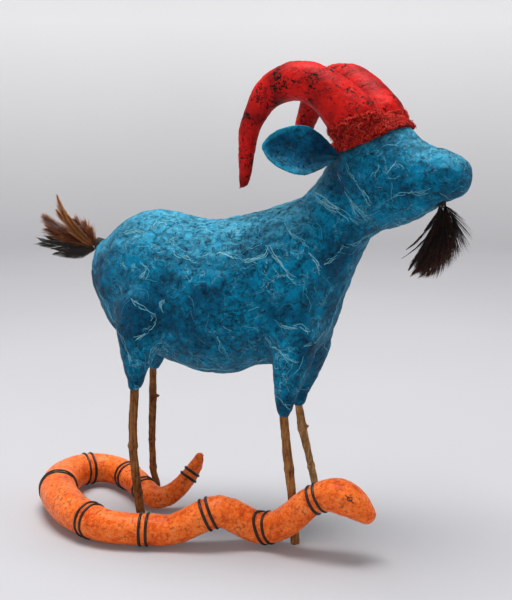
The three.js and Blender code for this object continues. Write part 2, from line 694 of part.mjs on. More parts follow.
function buildSnake() {
  const wireBore = solid(loft({ ...snakeWire, ends: [12, 1] }, GAP));
  mesh("snake_body", cut(solid(loft(snakeForm)), wireBore), ORANGE_PAPER, snake);
  mesh("snake_wire", solid(loft(snakeWire)), STEEL_WIRE, snake);
  const sleeve = solid(loft(snakeForm, BAND_PROUD)).subtract(solid(loft(snakeForm, GAP)));
  BANDS.forEach((place, i) => {
    const [tailward, headward] = bandDiscs(place).map((disc) => sleeve.intersect(solid(disc)));
    const number = String(i + 1).padStart(2, "0");
    mesh(`snake_band_${number}_tailward`, tailward, BLACK_CORD, snake);
    mesh(`snake_band_${number}_headward`, headward, BLACK_CORD, snake);
  });
}

buildTorso();
buildLegs();
buildHead();
buildEars();
buildTail();
buildBeard();
buildSnake();

// stand the figure on z = 0, with its box centred over the origin
const box = new THREE.Box3().setFromObject(figure, true);
const middle = box.getCenter(V(0, 0, 0));
figure.position.set(-middle.x, -middle.y, -box.min.z);

export default figure;
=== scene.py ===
"""Looks of a papier-mache goat with dyed skin, red horns, feathers and twig legs, and of its loose snake.

Laid out as an add-on: sizes and colours are properties, and each group of like pieces is an operator.
"""

import math

import bpy
import numpy as np
from mathutils import Matrix, Vector
from mathutils.bvhtree import BVHTree


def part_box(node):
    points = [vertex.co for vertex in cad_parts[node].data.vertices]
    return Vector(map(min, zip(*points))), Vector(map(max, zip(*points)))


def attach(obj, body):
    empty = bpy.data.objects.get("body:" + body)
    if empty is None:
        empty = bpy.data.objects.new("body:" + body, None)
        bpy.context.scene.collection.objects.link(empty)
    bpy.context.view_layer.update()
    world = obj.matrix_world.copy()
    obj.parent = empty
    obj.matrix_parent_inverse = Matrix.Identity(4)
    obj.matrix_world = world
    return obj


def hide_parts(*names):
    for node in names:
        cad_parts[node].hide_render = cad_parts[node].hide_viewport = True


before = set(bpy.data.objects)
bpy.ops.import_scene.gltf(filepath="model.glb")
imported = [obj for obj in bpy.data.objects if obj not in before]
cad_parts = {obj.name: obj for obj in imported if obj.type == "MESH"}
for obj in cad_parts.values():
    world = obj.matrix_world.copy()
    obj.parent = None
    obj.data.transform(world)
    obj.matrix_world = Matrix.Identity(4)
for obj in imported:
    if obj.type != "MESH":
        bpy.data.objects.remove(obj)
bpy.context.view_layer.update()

bl_info = {
    "name": "Paper goat and snake",
    "version": (1, 0, 0),
    "blender": (4, 5, 0),
    "location": "3D View > Sidebar > Goat",
    "description": "Builds the visible finish of a papier-mache goat and snake round their fixed frame",
    "category": "Object",
}

MM = 0.001
LEGS = ("rear_right", "rear_left", "front_right", "front_left")
HEAD_TURN = math.radians(23)  # of the head towards the goat's right
RUFF_LEAN = math.radians(22)  # of the ruff's lower edge, up towards the forehead
HEAD_AHEAD = Vector((math.cos(HEAD_TURN), -math.sin(HEAD_TURN), 0))  # way the head faces
HEAD_LEFT = Vector((-HEAD_AHEAD.y, HEAD_AHEAD.x, 0))


def linear(hex_colour):
    """Linear red, green and blue of an sRGB hex value."""
    parts = [int(hex_colour[i : i + 2], 16) / 255 for i in (1, 3, 5)]
    return tuple(p / 12.92 if p <= 0.04045 else ((p + 0.055) / 1.055) ** 2.4 for p in parts)


def rgba(colour):
    """A hex value or a colour property as linear red, green, blue and alpha."""
    return (*(linear(colour) if isinstance(colour, str) else tuple(colour)), 1.0)


# ---------------------------------------------------------------- sizes and colours that a user may change
def length_property(name, description, default, low=0.00005, high=0.1):
    return bpy.props.FloatProperty(
        name=name, description=description, default=default, min=low, max=high, unit="LENGTH", precision=5
    )


def colour_property(name, description, hex_colour):
    return bpy.props.FloatVectorProperty(
        name=name, description=description, default=linear(hex_colour), size=3, min=0, max=1, subtype="COLOR"
    )


class FigureSizes(bpy.types.PropertyGroup):
    """Sizes of the finish, in metres."""

    skin_grid: length_property(
        "Skin grid", "Spacing of the paper skin's mesh before it is rounded", 3.0 * MM, 1 * MM
    )
    skin_lump: length_property("Skin lumps", "Height of the broad lumps in the paper skin", 1.6 * MM)
    skin_crease: length_property("Skin creases", "Depth of the folds pressed into the wet paper", 1.1 * MM)
    fibre_radius: length_property("Fibre radius", "Half thickness of the long mulberry fibres", 0.25 * MM)
    ruff_height: length_property(
        "Ruff height", "How far the felt climbs the horns from its lower edge", 17.0 * MM
    )
    fuzz_length: length_property("Ruff fibre", "Length of the loose fibres on the ruff", 8.0 * MM)
    cord_radius: length_property("Cord radius", "Half thickness of the cord tied round the snake", 1.25 * MM)
    barb_radius: length_property("Barb radius", "Half thickness of a feather's barbs", 0.16 * MM)
    fibres: bpy.props.IntProperty(
        name="Short fibres",
        description="How many short fibres lie in the paper skin",
        default=520,
        min=10,
        max=2000,
    )
    fuzz: bpy.props.IntProperty(
        name="Ruff fibres",
        description="How many loose fibres cover the ruff",
        default=6200,
        min=100,
        max=8000,
    )


class FigureColours(bpy.types.PropertyGroup):
    """Colours of the paper, paint and feathers."""

    teal: colour_property("Teal", "Main dye of the goat's paper", "#0080a8")
    teal_deep: colour_property("Deep teal", "Where the dye pooled in the creases", "#01283f")
    # also the colour of the painted highlight along the ears' edges
    teal_pale: colour_property("Pale teal", "Where the dye was thin", "#22a6c6")
    fibre: colour_property("Fibre", "Undyed mulberry fibre", "#93ccd9")
    red: colour_property("Red", "Paint of the horns", "#d81a14")
    red_deep: colour_property("Deep red", "Second coat of the horns, rubbed back", "#8e0c0a")
    orange: colour_property("Orange", "Ground colour of the snake", "#ff7626")
    rust: colour_property("Rust", "Stain rubbed into the snake's surface", "#b83c0c")


def sizes():
    return bpy.context.scene.figure_sizes


def colours():
    return bpy.context.scene.figure_colours


# ---------------------------------------------------------------- working on meshes
def activate(piece):
    """Makes a piece the only selected object, and the active one."""
    bpy.ops.object.select_all(action="DESELECT")
    piece.select_set(True)
    bpy.context.view_layer.objects.active = piece


def edit_all(piece, *steps):
    """Runs edit-mode operators on all of a piece; a step is an operator and its settings."""
    activate(piece)
    bpy.ops.object.mode_set(mode="EDIT")
    for operator, settings in steps:
        bpy.ops.mesh.select_all(action="SELECT")
        operator(**settings)
    bpy.ops.object.mode_set(mode="OBJECT")


def apply_modifiers(piece, *steps):
    """Adds and applies modifiers in turn; a step is a kind and its settings."""
    activate(piece)
    for kind, settings in steps:
        modifier = piece.modifiers.new(kind.title(), kind)
        for name, value in settings.items():
            setattr(modifier, name, value)
        bpy.ops.object.modifier_apply(modifier=modifier.name)


def join(name, parts):
    """One object of several."""
    activate(parts[0])
    for part in parts:
        part.select_set(True)
    if len(parts) > 1:
        bpy.ops.object.join()
    piece = bpy.context.object
    piece.name = piece.data.name = name
    return piece


def copy_of(name, *nodes):
    """A new object made of merged copies of CAD nodes."""
    twins = []
    for node in nodes:
        twin = bpy.data.objects.new(node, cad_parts[node].data.copy())
        bpy.context.collection.objects.link(twin)
        twin.data.materials.clear()
        activate(twin)
        bpy.ops.mesh.customdata_custom_splitnormals_clear()
        twins.append(twin)
    piece = join(name, twins)
    edit_all(piece, (bpy.ops.mesh.remove_doubles, {"threshold": 2e-6}))
    return piece


def keep_largest(piece):
    """Drops the closed pockets that remeshing leaves inside a form."""
    name = piece.name
    activate(piece)
    bpy.ops.mesh.separate(type="LOOSE")
    parts = sorted(bpy.context.selected_objects, key=lambda o: len(o.data.vertices))
    for pocket in parts[:-1]:
        bpy.data.objects.remove(pocket)
    parts[-1].name = parts[-1].data.name = name
    return parts[-1]


def reskin(piece, grid, rounds, halvings=0):
    """Covers a joined form with one skin of even quads and rounds its facets off."""
    apply_modifiers(piece, ("REMESH", {"mode": "VOXEL", "voxel_size": grid}))
    piece = keep_largest(piece)
    apply_modifiers(
        piece,
        ("SMOOTH", {"factor": 0.5, "iterations": rounds}),
        *([("SUBSURF", {"levels": halvings, "render_levels": halvings})] if halvings else []),
    )
    return piece


def press(piece, kind, grain, depth, **settings):
    """Pushes a piece's surface in and out by a noise whose lumps are `grain` across."""
    texture = bpy.data.textures.new(f"{piece.name}_{kind.lower()}", kind)
    texture.noise_scale = grain
    for name, value in settings.items():
        setattr(texture, name, value)
    middle = {"CLOUDS": 0.5, "MUSGRAVE": 0.6}[kind]  # the noise's value that leaves a point in place
    apply_modifiers(
        piece,
        ("DISPLACE", {"texture": texture, "strength": depth, "mid_level": middle, "texture_coords": "LOCAL"}),
    )


def smooth_faces(piece):
    activate(piece)
    bpy.ops.object.shade_smooth()


def settle(piece, body, slot, material, *nodes):
    """Gives a finished piece its body and one material slot holding its finish, and hides the CAD nodes that
    it stands for. The slot argument is not used.
    """
    piece.data.materials.clear()
    piece.data.materials.append(material)
    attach(piece, body)
    if nodes:
        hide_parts(*nodes)


class Surface:
    """A finished piece's surface, for laying fibres on."""

    def __init__(self, piece):
        mesh = piece.data
        count = len(mesh.polygons)
        self.tree = BVHTree.FromPolygons([v.co for v in mesh.vertices], [p.vertices for p in mesh.polygons])
        self.centres, self.normals, self.areas = np.empty(count * 3), np.empty(count * 3), np.empty(count)
        mesh.polygons.foreach_get("center", self.centres)
        mesh.polygons.foreach_get("normal", self.normals)
        mesh.polygons.foreach_get("area", self.areas)
        self.centres, self.normals = self.centres.reshape(-1, 3), self.normals.reshape(-1, 3)

    def spots(self, count, rng, keep=None):
        """Random places on the surface with their normals; keep picks faces by centre and normal."""
        weights = self.areas * (1.0 if keep is None else keep(self.centres, self.normals))
        picks = rng.choice(len(weights), count, p=weights / weights.sum())
        return [(Vector(self.centres[i]), Vector(self.normals[i])) for i in picks]

    def crawl(self, start, heading, steps, step, wander, lift, rng):
        """Points and normals of a fibre that leaves start along heading and wanders over the surface."""
        points, normals, at = [], [], start
        for _ in range(steps):
            spot, normal, _, _ = self.tree.find_nearest(at)
            points.append(spot + normal * lift)
            normals.append(normal)
            heading = (heading - normal * heading.dot(normal)).normalized()
            heading = Matrix.Rotation(rng.normal(0, wander), 3, normal) @ heading
            at = spot + heading * step
        return points, normals


def strands(name, bundles, sides=3, flat=1.0):
    """One mesh of closed tapering strands.

    A bundle is points (count, k, 3), normals the same, radii (count, k), and a tone (count) that the
    material may read. `along` runs from 0 at a strand's root to 1 at its tip.
    """
    verts, faces, tones, alongs, start = [], [], [], [], 0
    turn = np.arange(sides) * 2 * np.pi / sides
    for points, normals, radii, tone in bundles:
        points, normals, radii = (np.asarray(values, float) for values in (points, normals, radii))
        count, k, _ = points.shape
        ahead = np.gradient(points, axis=1)
        ahead /= np.linalg.norm(ahead, axis=2, keepdims=True) + 1e-12
        side = np.cross(ahead, normals)
        side /= np.linalg.norm(side, axis=2, keepdims=True) + 1e-12
        up = np.cross(side, ahead)
        rings = (
            points[:, 1:-1, None, :]
            + radii[:, 1:-1, None, None]
            * (side[:, 1:-1, None, :] * np.cos(turn)[None, None, :, None]
               + flat * up[:, 1:-1, None, :] * np.sin(turn)[None, None, :, None])
        ).reshape(count, -1, 3)
        each = 2 + (k - 2) * sides
        verts.append(np.concatenate([points[:, :1], rings, points[:, -1:]], axis=1).reshape(-1, 3))
        one = []
        for s in range(sides):
            t = (s + 1) % sides
            one.append((0, 1 + t, 1 + s))
            last = 1 + (k - 3) * sides
            one.append((each - 1, last + s, last + t))
            for r in range(k - 3):
                a, b = 1 + r * sides, 1 + (r + 1) * sides
                one += [(a + s, a + t, b + t), (a + s, b + t, b + s)]
        one = np.array(one)
        faces.append((one[None] + start + each * np.arange(count)[:, None, None]).reshape(-1, 3))
        start += each * count
        tones.append(np.repeat(np.asarray(tone, float), each))
        share = np.concatenate([[0], np.repeat(np.arange(1, k - 1) / (k - 1), sides), [1]])
        alongs.append(np.tile(share, count))
    mesh = bpy.data.meshes.new(name)
    mesh.from_pydata(np.concatenate(verts).tolist(), [], np.concatenate(faces).tolist())
    for label, values in (("tone", tones), ("along", alongs)):
        mesh.attributes.new(label, "FLOAT", "POINT").data.foreach_set("value", np.concatenate(values))
    piece = bpy.data.objects.new(name, mesh)
    bpy.context.collection.objects.link(piece)
    edit_all(piece, (bpy.ops.mesh.normals_make_consistent, {"inside": False}))
    smooth_faces(piece)
    return piece


# ---------------------------------------------------------------- materials
def add(tree, kind, links=None, stops=None, **settings):
    """Adds a node.

    Settings are its properties, links each input's value or the socket that feeds it, and stops the
    places and colours of its ramp.
    """
    node = tree.nodes.new("ShaderNode" + kind)
    for name, value in settings.items():
        setattr(node, name, value)
    for name, value in (links or {}).items():
        if isinstance(value, bpy.types.NodeSocket):
            tree.links.new(value, node.inputs[name])
        else:
            node.inputs[name].default_value = value
    if stops:
        elements = node.color_ramp.elements
        while len(elements) > 1:
            elements.remove(elements[-1])
        elements[0].position, elements[0].color = stops[0][0], stops[0][1]
        for place, colour in stops[1:]:
            elements.new(place).color = colour
    return node


WHITE, BLACK = (1, 1, 1, 1), (0, 0, 0, 1)
MIX_FACTOR, MIX_A, MIX_B, MIX_OUT = 0, 6, 7, 2  # sockets of a Mix node that mixes colours
WAVE_SPAN = 2 * math.pi / (10 * math.sqrt(3))  # spacing of a diagonal wave's bands at scale 1, in metres


def material(name, recipe):
    """A material whose recipe lays the pattern's nodes and returns the shader's inputs."""
    made = bpy.data.materials.get(name)
    if made:
        return made
    made = bpy.data.materials.new(name)
    made.use_nodes = True
    tree = made.node_tree
    tree.nodes.clear()
    shader = add(tree, "BsdfPrincipled", recipe(tree))
    add(tree, "OutputMaterial", {"Surface": shader.outputs[0]})
    return made


def per_mm(size):
    """Noise scale whose features are `size` millimetres across."""
    return 1000 / size


def dyed_paper(tree, deep, main, pale, fibre, crease=1.0):
    """Mulberry paper, dyed and laid wet over the form.

    Dye pools in broken lines of folds and creases, and hair-thin undyed fibres show pale. The paper is
    matt, with a faint fuzz, and carries a painted highlight where it looks up.
    """
    place = add(tree, "TexCoord").outputs["Object"]
    bend = add(tree, "TexNoise", {"Vector": place, "Scale": per_mm(9), "Detail": 4.0, "Roughness": 0.6})
    shift = add(tree, "VectorMath", {0: bend.outputs["Color"], 1: (0.5, 0.5, 0.5)}, operation="SUBTRACT")
    shift = add(tree, "VectorMath", {0: shift.outputs[0], "Scale": 5 * MM}, operation="SCALE")
    bent = add(tree, "VectorMath", {0: place, 1: shift.outputs[0]}, operation="ADD").outputs[0]
    blotch = add(tree, "TexNoise", {"Vector": place, "Scale": per_mm(40), "Detail": 5.0, "Roughness": 0.6})
    mottle = add(
        tree,
        "TexNoise",
        {"Vector": bent, "Scale": per_mm(4.6), "Detail": 6.0, "Roughness": 0.76, "Distortion": 0.5},
    )
    gaps = add(tree, "TexNoise", {"Vector": place, "Scale": per_mm(12), "Detail": 3.0})
    veins = []  # folds, creases and pale hairs run where a noise field passes its middle value
    for size, width in ((19, 0.028), (7, 0.05), (27, 0.010)):
        field = add(
            tree, "TexNoise", {"Vector": bent, "Scale": per_mm(size), "Detail": 5.0, "Roughness": 0.62}
        )
        off = add(tree, "Math", {0: field.outputs["Fac"], 1: 0.5}, operation="SUBTRACT")
        near = add(tree, "Math", {0: off.outputs[0]}, operation="ABSOLUTE")
        line = add(tree, "ValToRGB", {"Fac": near.outputs[0]}, stops=((0.0, WHITE), (width, BLACK)))
        veins.append(line.outputs["Color"])
    fold_line, crease_line, hair_line = veins

    ground = add(
        tree,
        "ValToRGB",
        {"Fac": mottle.outputs["Fac"]},
        stops=((0.33, rgba(deep)), (0.47, rgba(main)), (0.56, rgba(main)), (0.70, rgba(pale))),
    )
    cloud = add(
        tree, "ValToRGB", {"Fac": blotch.outputs["Fac"]}, stops=((0.40, (0.26, 0.36, 0.42, 1)), (0.57, WHITE))
    )
    clouded = add(
        tree,
        "Mix",
        {MIX_FACTOR: 1.0, MIX_A: ground.outputs["Color"], MIX_B: cloud.outputs["Color"]},
        data_type="RGBA",
        blend_type="MULTIPLY",
    )
    broken = add(tree, "ValToRGB", {"Fac": gaps.outputs["Fac"]}, stops=((0.40, BLACK), (0.60, WHITE)))
    lines = add(
        tree,
        "Mix",
        {MIX_FACTOR: broken.outputs["Color"], MIX_A: crease_line, MIX_B: fold_line},
        data_type="RGBA",
    )
    depth = add(tree, "Math", {0: lines.outputs[MIX_OUT], 1: 0.72 * crease}, operation="MULTIPLY")
    creased = add(
        tree,
        "Mix",
        {MIX_FACTOR: depth.outputs[0], MIX_A: clouded.outputs[MIX_OUT], MIX_B: rgba(deep)},
        data_type="RGBA",
    )
    hair_spots = add(
        tree, "ValToRGB", {"Fac": blotch.outputs["Fac"]}, stops=((0.47, BLACK), (0.62, (0.75, 0.75, 0.75, 1)))
    )
    hair = add(tree, "Math", {0: hair_line, 1: hair_spots.outputs["Color"]}, operation="MULTIPLY")
    paper = add(
        tree,
        "Mix",
        {MIX_FACTOR: hair.outputs[0], MIX_A: creased.outputs[MIX_OUT], MIX_B: rgba(fibre)},
        data_type="RGBA",
    )
    # painted highlight: faces that look up are painted paler, as light from above shows them, least where the
    # dye pooled
    facing = add(tree, "SeparateXYZ", {0: add(tree, "NewGeometry").outputs["Normal"]})
    top_light = add(
        tree, "MapRange", {"Value": facing.outputs["Z"], "From Min": 0.3, "From Max": 1.0, "To Max": 0.8}
    )
    top_light_by_dye = add(
        tree, "ValToRGB", {"Fac": mottle.outputs["Fac"]}, stops=((0.38, BLACK), (0.58, (0.8, 0.8, 0.8, 1)))
    )
    pale_share = add(tree, "Math", {0: top_light.outputs[0], 1: top_light_by_dye.outputs["Color"]}, operation="MULTIPLY")
    top_lit_paper = add(
        tree,
        "Mix",
        {MIX_FACTOR: pale_share.outputs[0], MIX_A: paper.outputs[MIX_OUT], MIX_B: rgba("#5fbfd8")},
        data_type="RGBA",
    )
    height = add(tree, "Math", {0: mottle.outputs["Fac"], 1: lines.outputs[MIX_OUT]}, operation="SUBTRACT")
    bump = add(tree, "Bump", {"Height": height.outputs[0], "Strength": 0.85, "Distance": 0.9 * MM})
    rough = add(tree, "MapRange", {"Value": mottle.outputs["Fac"], "To Min": 0.5, "To Max": 0.75})
    return {
        "Base Color": top_lit_paper.outputs[MIX_OUT],
        "Roughness": rough.outputs[0],
        "Normal": bump.outputs[0],
        "IOR": 1.5,
        "Specular IOR Level": 0.07,
        "Sheen Weight": 0.12,
        "Sheen Roughness": 0.4,
        "Sheen Tint": (0.8, 0.95, 1.0, 1.0),
    }


def teal_paper():
    c = colours()
    return material(
        "dyed_mulberry_paper", lambda tree: dyed_paper(tree, c.teal_deep, c.teal, c.teal_pale, c.fibre)
    )


def ear_paper():
    """The same paper stretched over card: its creases are finer, its edge carries a painted highlight, and
    its cup a painted shade.
    """
    c = colours()

    def recipe(tree):
        inputs = dyed_paper(tree, c.teal_deep, c.teal, c.teal_pale, c.fibre, crease=0.8)
        edge = add(tree, "Attribute", attribute_name="edge")
        hollow_shade = add(tree, "Attribute", attribute_name="hollow_shade")
        # painted shade: the paper is darkened inside the ear's cup, away from its edge
        shade = add(
            tree,
            "ValToRGB",
            {"Fac": hollow_shade.outputs["Fac"]},
            stops=((0.0, WHITE), (1.0, (0.34, 0.42, 0.5, 1))),
        )
        dark = add(
            tree,
            "Mix",
            {MIX_FACTOR: 1.0, MIX_A: inputs["Base Color"], MIX_B: shade.outputs["Color"]},
            data_type="RGBA",
            blend_type="MULTIPLY",
        )
        # painted highlight: the edge is mixed towards pale teal
        rim = add(
            tree, "ValToRGB", {"Fac": edge.outputs["Fac"]}, stops=((0.5, BLACK), (1.0, (0.55, 0.55, 0.55, 1)))
        )
        inputs["Base Color"] = add(
            tree,
            "Mix",
            {MIX_FACTOR: rim.outputs["Color"], MIX_A: dark.outputs[MIX_OUT], MIX_B: rgba(c.teal_pale)},
            data_type="RGBA",
        ).outputs[MIX_OUT]
        return inputs

    return material("dyed_paper_on_card", recipe)


def fibre_finish():
    """Raw mulberry fibre: translucent, pale and silky, tinted by the dye round it."""
    c = colours()

    def recipe(tree):
        tone = add(tree, "Attribute", attribute_name="tone")
        tint = add(
            tree,
            "ValToRGB",
            {"Fac": tone.outputs["Fac"]},
            stops=((0.0, rgba("#2c8fb4")), (0.6, rgba("#6db9cd")), (1.0, rgba(c.fibre))),
        )
        return {"Base Color": tint.outputs["Color"], "Roughness": 0.6, "IOR": 1.5, "Specular IOR Level": 0.3}

    return material("mulberry_fibre", recipe)


def red_paint():
    """Acrylic brushed on pasted paper.

    It has fine streaks along the brush, a darker coat rubbed back, and near-black flecks in clusters.
    """
    c = colours()

    def recipe(tree):
        place = add(tree, "TexCoord").outputs["Object"]
        brush = add(tree, "Mapping", {"Vector": place, "Scale": (1.0, 2.2, 1.0)})
        streak = add(
            tree,
            "TexNoise",
            {
                "Vector": brush.outputs[0],
                "Scale": per_mm(6),
                "Detail": 6.0,
                "Roughness": 0.7,
                "Distortion": 1.2,
            },
        )
        patch = add(tree, "TexNoise", {"Vector": place, "Scale": per_mm(26), "Detail": 4.0, "Roughness": 0.6})
        chips = add(
            tree,
            "TexNoise",
            {"Vector": place, "Scale": per_mm(3.4), "Detail": 3.0, "Roughness": 0.75, "Distortion": 1.0},
        )
        crowd = add(tree, "TexNoise", {"Vector": place, "Scale": per_mm(15), "Detail": 2.0})
        wrinkle = add(
            tree, "TexVoronoi", {"Vector": brush.outputs[0], "Scale": per_mm(5)}, feature="DISTANCE_TO_EDGE"
        )
        ground = add(
            tree,
            "ValToRGB",
            {"Fac": streak.outputs["Fac"]},
            stops=(
                (0.32, rgba(c.red_deep)), (0.47, rgba(c.red)), (0.64, rgba(c.red)), (0.78, rgba("#e23a30"))
            ),
        )
        worn = add(
            tree,
            "ValToRGB",
            {"Fac": patch.outputs["Fac"]},
            stops=((0.36, (0.42, 0.32, 0.32, 1)), (0.56, WHITE)),
        )
        coat = add(
            tree,
            "Mix",
            {MIX_FACTOR: 1.0, MIX_A: ground.outputs["Color"], MIX_B: worn.outputs["Color"]},
            data_type="RGBA",
            blend_type="MULTIPLY",
        )
        cluster = add(
            tree,
            "MapRange",
            {"Value": crowd.outputs["Fac"], "From Min": 0.40, "From Max": 0.62, "To Max": 0.16},
        )
        likely = add(tree, "Math", {0: chips.outputs["Fac"], 1: cluster.outputs[0]}, operation="ADD")
        fleck = add(tree, "ValToRGB", {"Fac": likely.outputs[0]}, stops=((0.655, BLACK), (0.70, WHITE)))
        crack = add(
            tree,
            "ValToRGB",
            {"Fac": wrinkle.outputs["Distance"]},
            stops=((0.0, (0.22, 0.22, 0.22, 1)), (0.05, BLACK)),
        )
        dark = add(tree, "Math", {0: fleck.outputs["Color"], 1: crack.outputs["Color"]}, operation="MAXIMUM")
        paint = add(
            tree,
            "Mix",
            {MIX_FACTOR: dark.outputs[0], MIX_A: coat.outputs[MIX_OUT], MIX_B: rgba("#1c0709")},
            data_type="RGBA",
        )
        height = add(tree, "Math", {0: streak.outputs["Fac"], 1: dark.outputs[0]}, operation="SUBTRACT")
        bump = add(tree, "Bump", {"Height": height.outputs[0], "Strength": 0.7, "Distance": 0.5 * MM})
        return {
            "Base Color": paint.outputs[MIX_OUT],
            "Roughness": 0.52,
            "Normal": bump.outputs[0],
            "IOR": 1.48,
            "Specular IOR Level": 0.12,
        }

    return material("red_acrylic_on_paper", recipe)


def ruff_fibre(name, dark, main, tip):
    """Matted dyed fibre: each hair has its own shade and fades pink towards its loose end."""

    def recipe(tree):
        tone = add(tree, "Attribute", attribute_name="tone")
        along = add(tree, "Attribute", attribute_name="along")
        place = add(tree, "TexCoord").outputs["Object"]
        clump = add(
            tree, "TexNoise", {"Vector": place, "Scale": per_mm(4.5), "Detail": 4.0, "Roughness": 0.7}
        )
        blend = add(tree, "Math", {0: tone.outputs["Fac"], 1: clump.outputs["Fac"]}, operation="ADD")
        half = add(tree, "Math", {0: blend.outputs[0], 1: 0.5}, operation="MULTIPLY")
        shade = add(
            tree,
            "ValToRGB",
            {"Fac": half.outputs[0]},
            stops=((0.28, rgba(dark)), (0.46, rgba(main)), (0.64, rgba(main)), (0.78, rgba(tip))),
        )
        pale_share = add(tree, "MapRange", {"Value": along.outputs["Fac"], "From Min": 0.7, "To Max": 0.35})
        hair = add(
            tree,
            "Mix",
            {MIX_FACTOR: pale_share.outputs[0], MIX_A: shade.outputs["Color"], MIX_B: rgba(tip)},
            data_type="RGBA",
        )
        bump = add(tree, "Bump", {"Height": clump.outputs["Fac"], "Strength": 0.8, "Distance": 0.8 * MM})
        return {
            "Base Color": hair.outputs[MIX_OUT],
            "Roughness": 0.75,
            "Normal": bump.outputs[0],
            "IOR": 1.5,
            "Specular IOR Level": 0.15,
        }

    return material(name, recipe)


def snake_paint():
    """Acrylic over coarse paper pulp, a rust stain rubbed into its pits, and a thin satin varnish."""
    c = colours()

    def recipe(tree):
        place = add(tree, "TexCoord").outputs["Object"]
        pulp = add(
            tree,
            "TexNoise",
            {"Vector": place, "Scale": per_mm(3.6), "Detail": 5.0, "Roughness": 0.7, "Distortion": 0.8},
        )
        stain = add(
            tree, "TexNoise", {"Vector": place, "Scale": per_mm(19), "Detail": 5.0, "Roughness": 0.68}
        )
        pits = add(tree, "TexVoronoi", {"Vector": place, "Scale": per_mm(2.6), "Randomness": 1.0})
        both = add(tree, "Math", {0: pulp.outputs["Fac"], 1: stain.outputs["Fac"]}, operation="ADD")
        half = add(tree, "Math", {0: both.outputs[0], 1: 0.5}, operation="MULTIPLY")
        skin = add(
            tree,
            "ValToRGB",
            {"Fac": half.outputs[0]},
            stops=(
                (0.36, rgba(c.rust)), (0.44, rgba("#e2591a")), (0.51, rgba(c.orange)), (0.64, rgba("#ff9350"))
            ),
        )
        fine = add(tree, "Math", {0: pits.outputs["Distance"], 1: stain.outputs["Fac"]}, operation="MULTIPLY")
        speck = add(
            tree, "ValToRGB", {"Fac": fine.outputs[0]}, stops=((0.33, BLACK), (0.50, (0.7, 0.7, 0.7, 1)))
        )
        paint = add(
            tree,
            "Mix",
            {MIX_FACTOR: speck.outputs["Color"], MIX_A: skin.outputs["Color"], MIX_B: rgba("#9c2f0c")},
            data_type="RGBA",
        )
        bump = add(tree, "Bump", {"Height": pulp.outputs["Fac"], "Strength": 0.7, "Distance": 0.7 * MM})
        return {
            "Base Color": paint.outputs[MIX_OUT],
            "Roughness": 0.42,
            "Normal": bump.outputs[0],
            "IOR": 1.5,
            "Specular IOR Level": 0.15,
            "Coat Weight": 0.06,
            "Coat Roughness": 0.3,
        }

    return material("varnished_orange_pulp", recipe)


def bark(name, main, pale, dark):
    """Dry twig bark: long fine cracks along the grain, weathered pale ridges, and dark scars."""

    def recipe(tree):
        place = add(tree, "TexCoord").outputs["Object"]
        grain = add(tree, "Mapping", {"Vector": place, "Scale": (1.0, 1.0, 0.09)})
        streak = add(
            tree,
            "TexNoise",
            {"Vector": grain.outputs[0], "Scale": per_mm(1.6), "Detail": 4.0, "Roughness": 0.7},
        )
        patch = add(
            tree, "TexNoise", {"Vector": place, "Scale": per_mm(13), "Detail": 4.0, "Roughness": 0.65}
        )
        scars = add(
            tree, "TexNoise", {"Vector": place, "Scale": per_mm(4.4), "Detail": 3.0, "Roughness": 0.7}
        )
        both = add(tree, "Math", {0: streak.outputs["Fac"], 1: patch.outputs["Fac"]}, operation="ADD")
        half = add(tree, "Math", {0: both.outputs[0], 1: 0.5}, operation="MULTIPLY")
        skin = add(
            tree,
            "ValToRGB",
            {"Fac": half.outputs[0]},
            stops=((0.38, rgba(dark)), (0.5, rgba(main)), (0.62, rgba(pale))),
        )
        scar = add(
            tree, "ValToRGB", {"Fac": scars.outputs["Fac"]}, stops=((0.62, BLACK), (0.70, (0.9, 0.9, 0.9, 1)))
        )
        wood = add(
            tree,
            "Mix",
            {MIX_FACTOR: scar.outputs["Color"], MIX_A: skin.outputs["Color"], MIX_B: rgba("#2b1a10")},
            data_type="RGBA",
        )
        bump = add(tree, "Bump", {"Height": half.outputs[0], "Strength": 0.9, "Distance": 0.6 * MM})
        return {
            "Base Color": wood.outputs[MIX_OUT],
            "Roughness": 0.82,
            "Normal": bump.outputs[0],
            "IOR": 1.5,
            "Specular IOR Level": 0.2,
        }

    return material(name, recipe)


def feather_finish(name, root, middle, tip):
    """Feather keratin: each barb shades from its shaft to its tip, with a soft gloss."""

    def recipe(tree):
        tone = add(tree, "Attribute", attribute_name="tone")
        along = add(tree, "Attribute", attribute_name="along")
        sum_of = add(tree, "Math", {0: tone.outputs["Fac"], 1: along.outputs["Fac"]}, operation="ADD")
        half = add(tree, "Math", {0: sum_of.outputs[0], 1: 0.5}, operation="MULTIPLY")
        shade = add(
            tree,
            "ValToRGB",
            {"Fac": half.outputs[0]},
            stops=((0.12, rgba(root)), (0.5, rgba(middle)), (0.88, rgba(tip))),
        )
        return {
            "Base Color": shade.outputs["Color"], "Roughness": 0.5, "IOR": 1.55, "Specular IOR Level": 0.3
        }

    return material(name, recipe)


CORD_RIBS, THREAD_RIBS = 10.16, 5.8  # millimetres from rib to rib


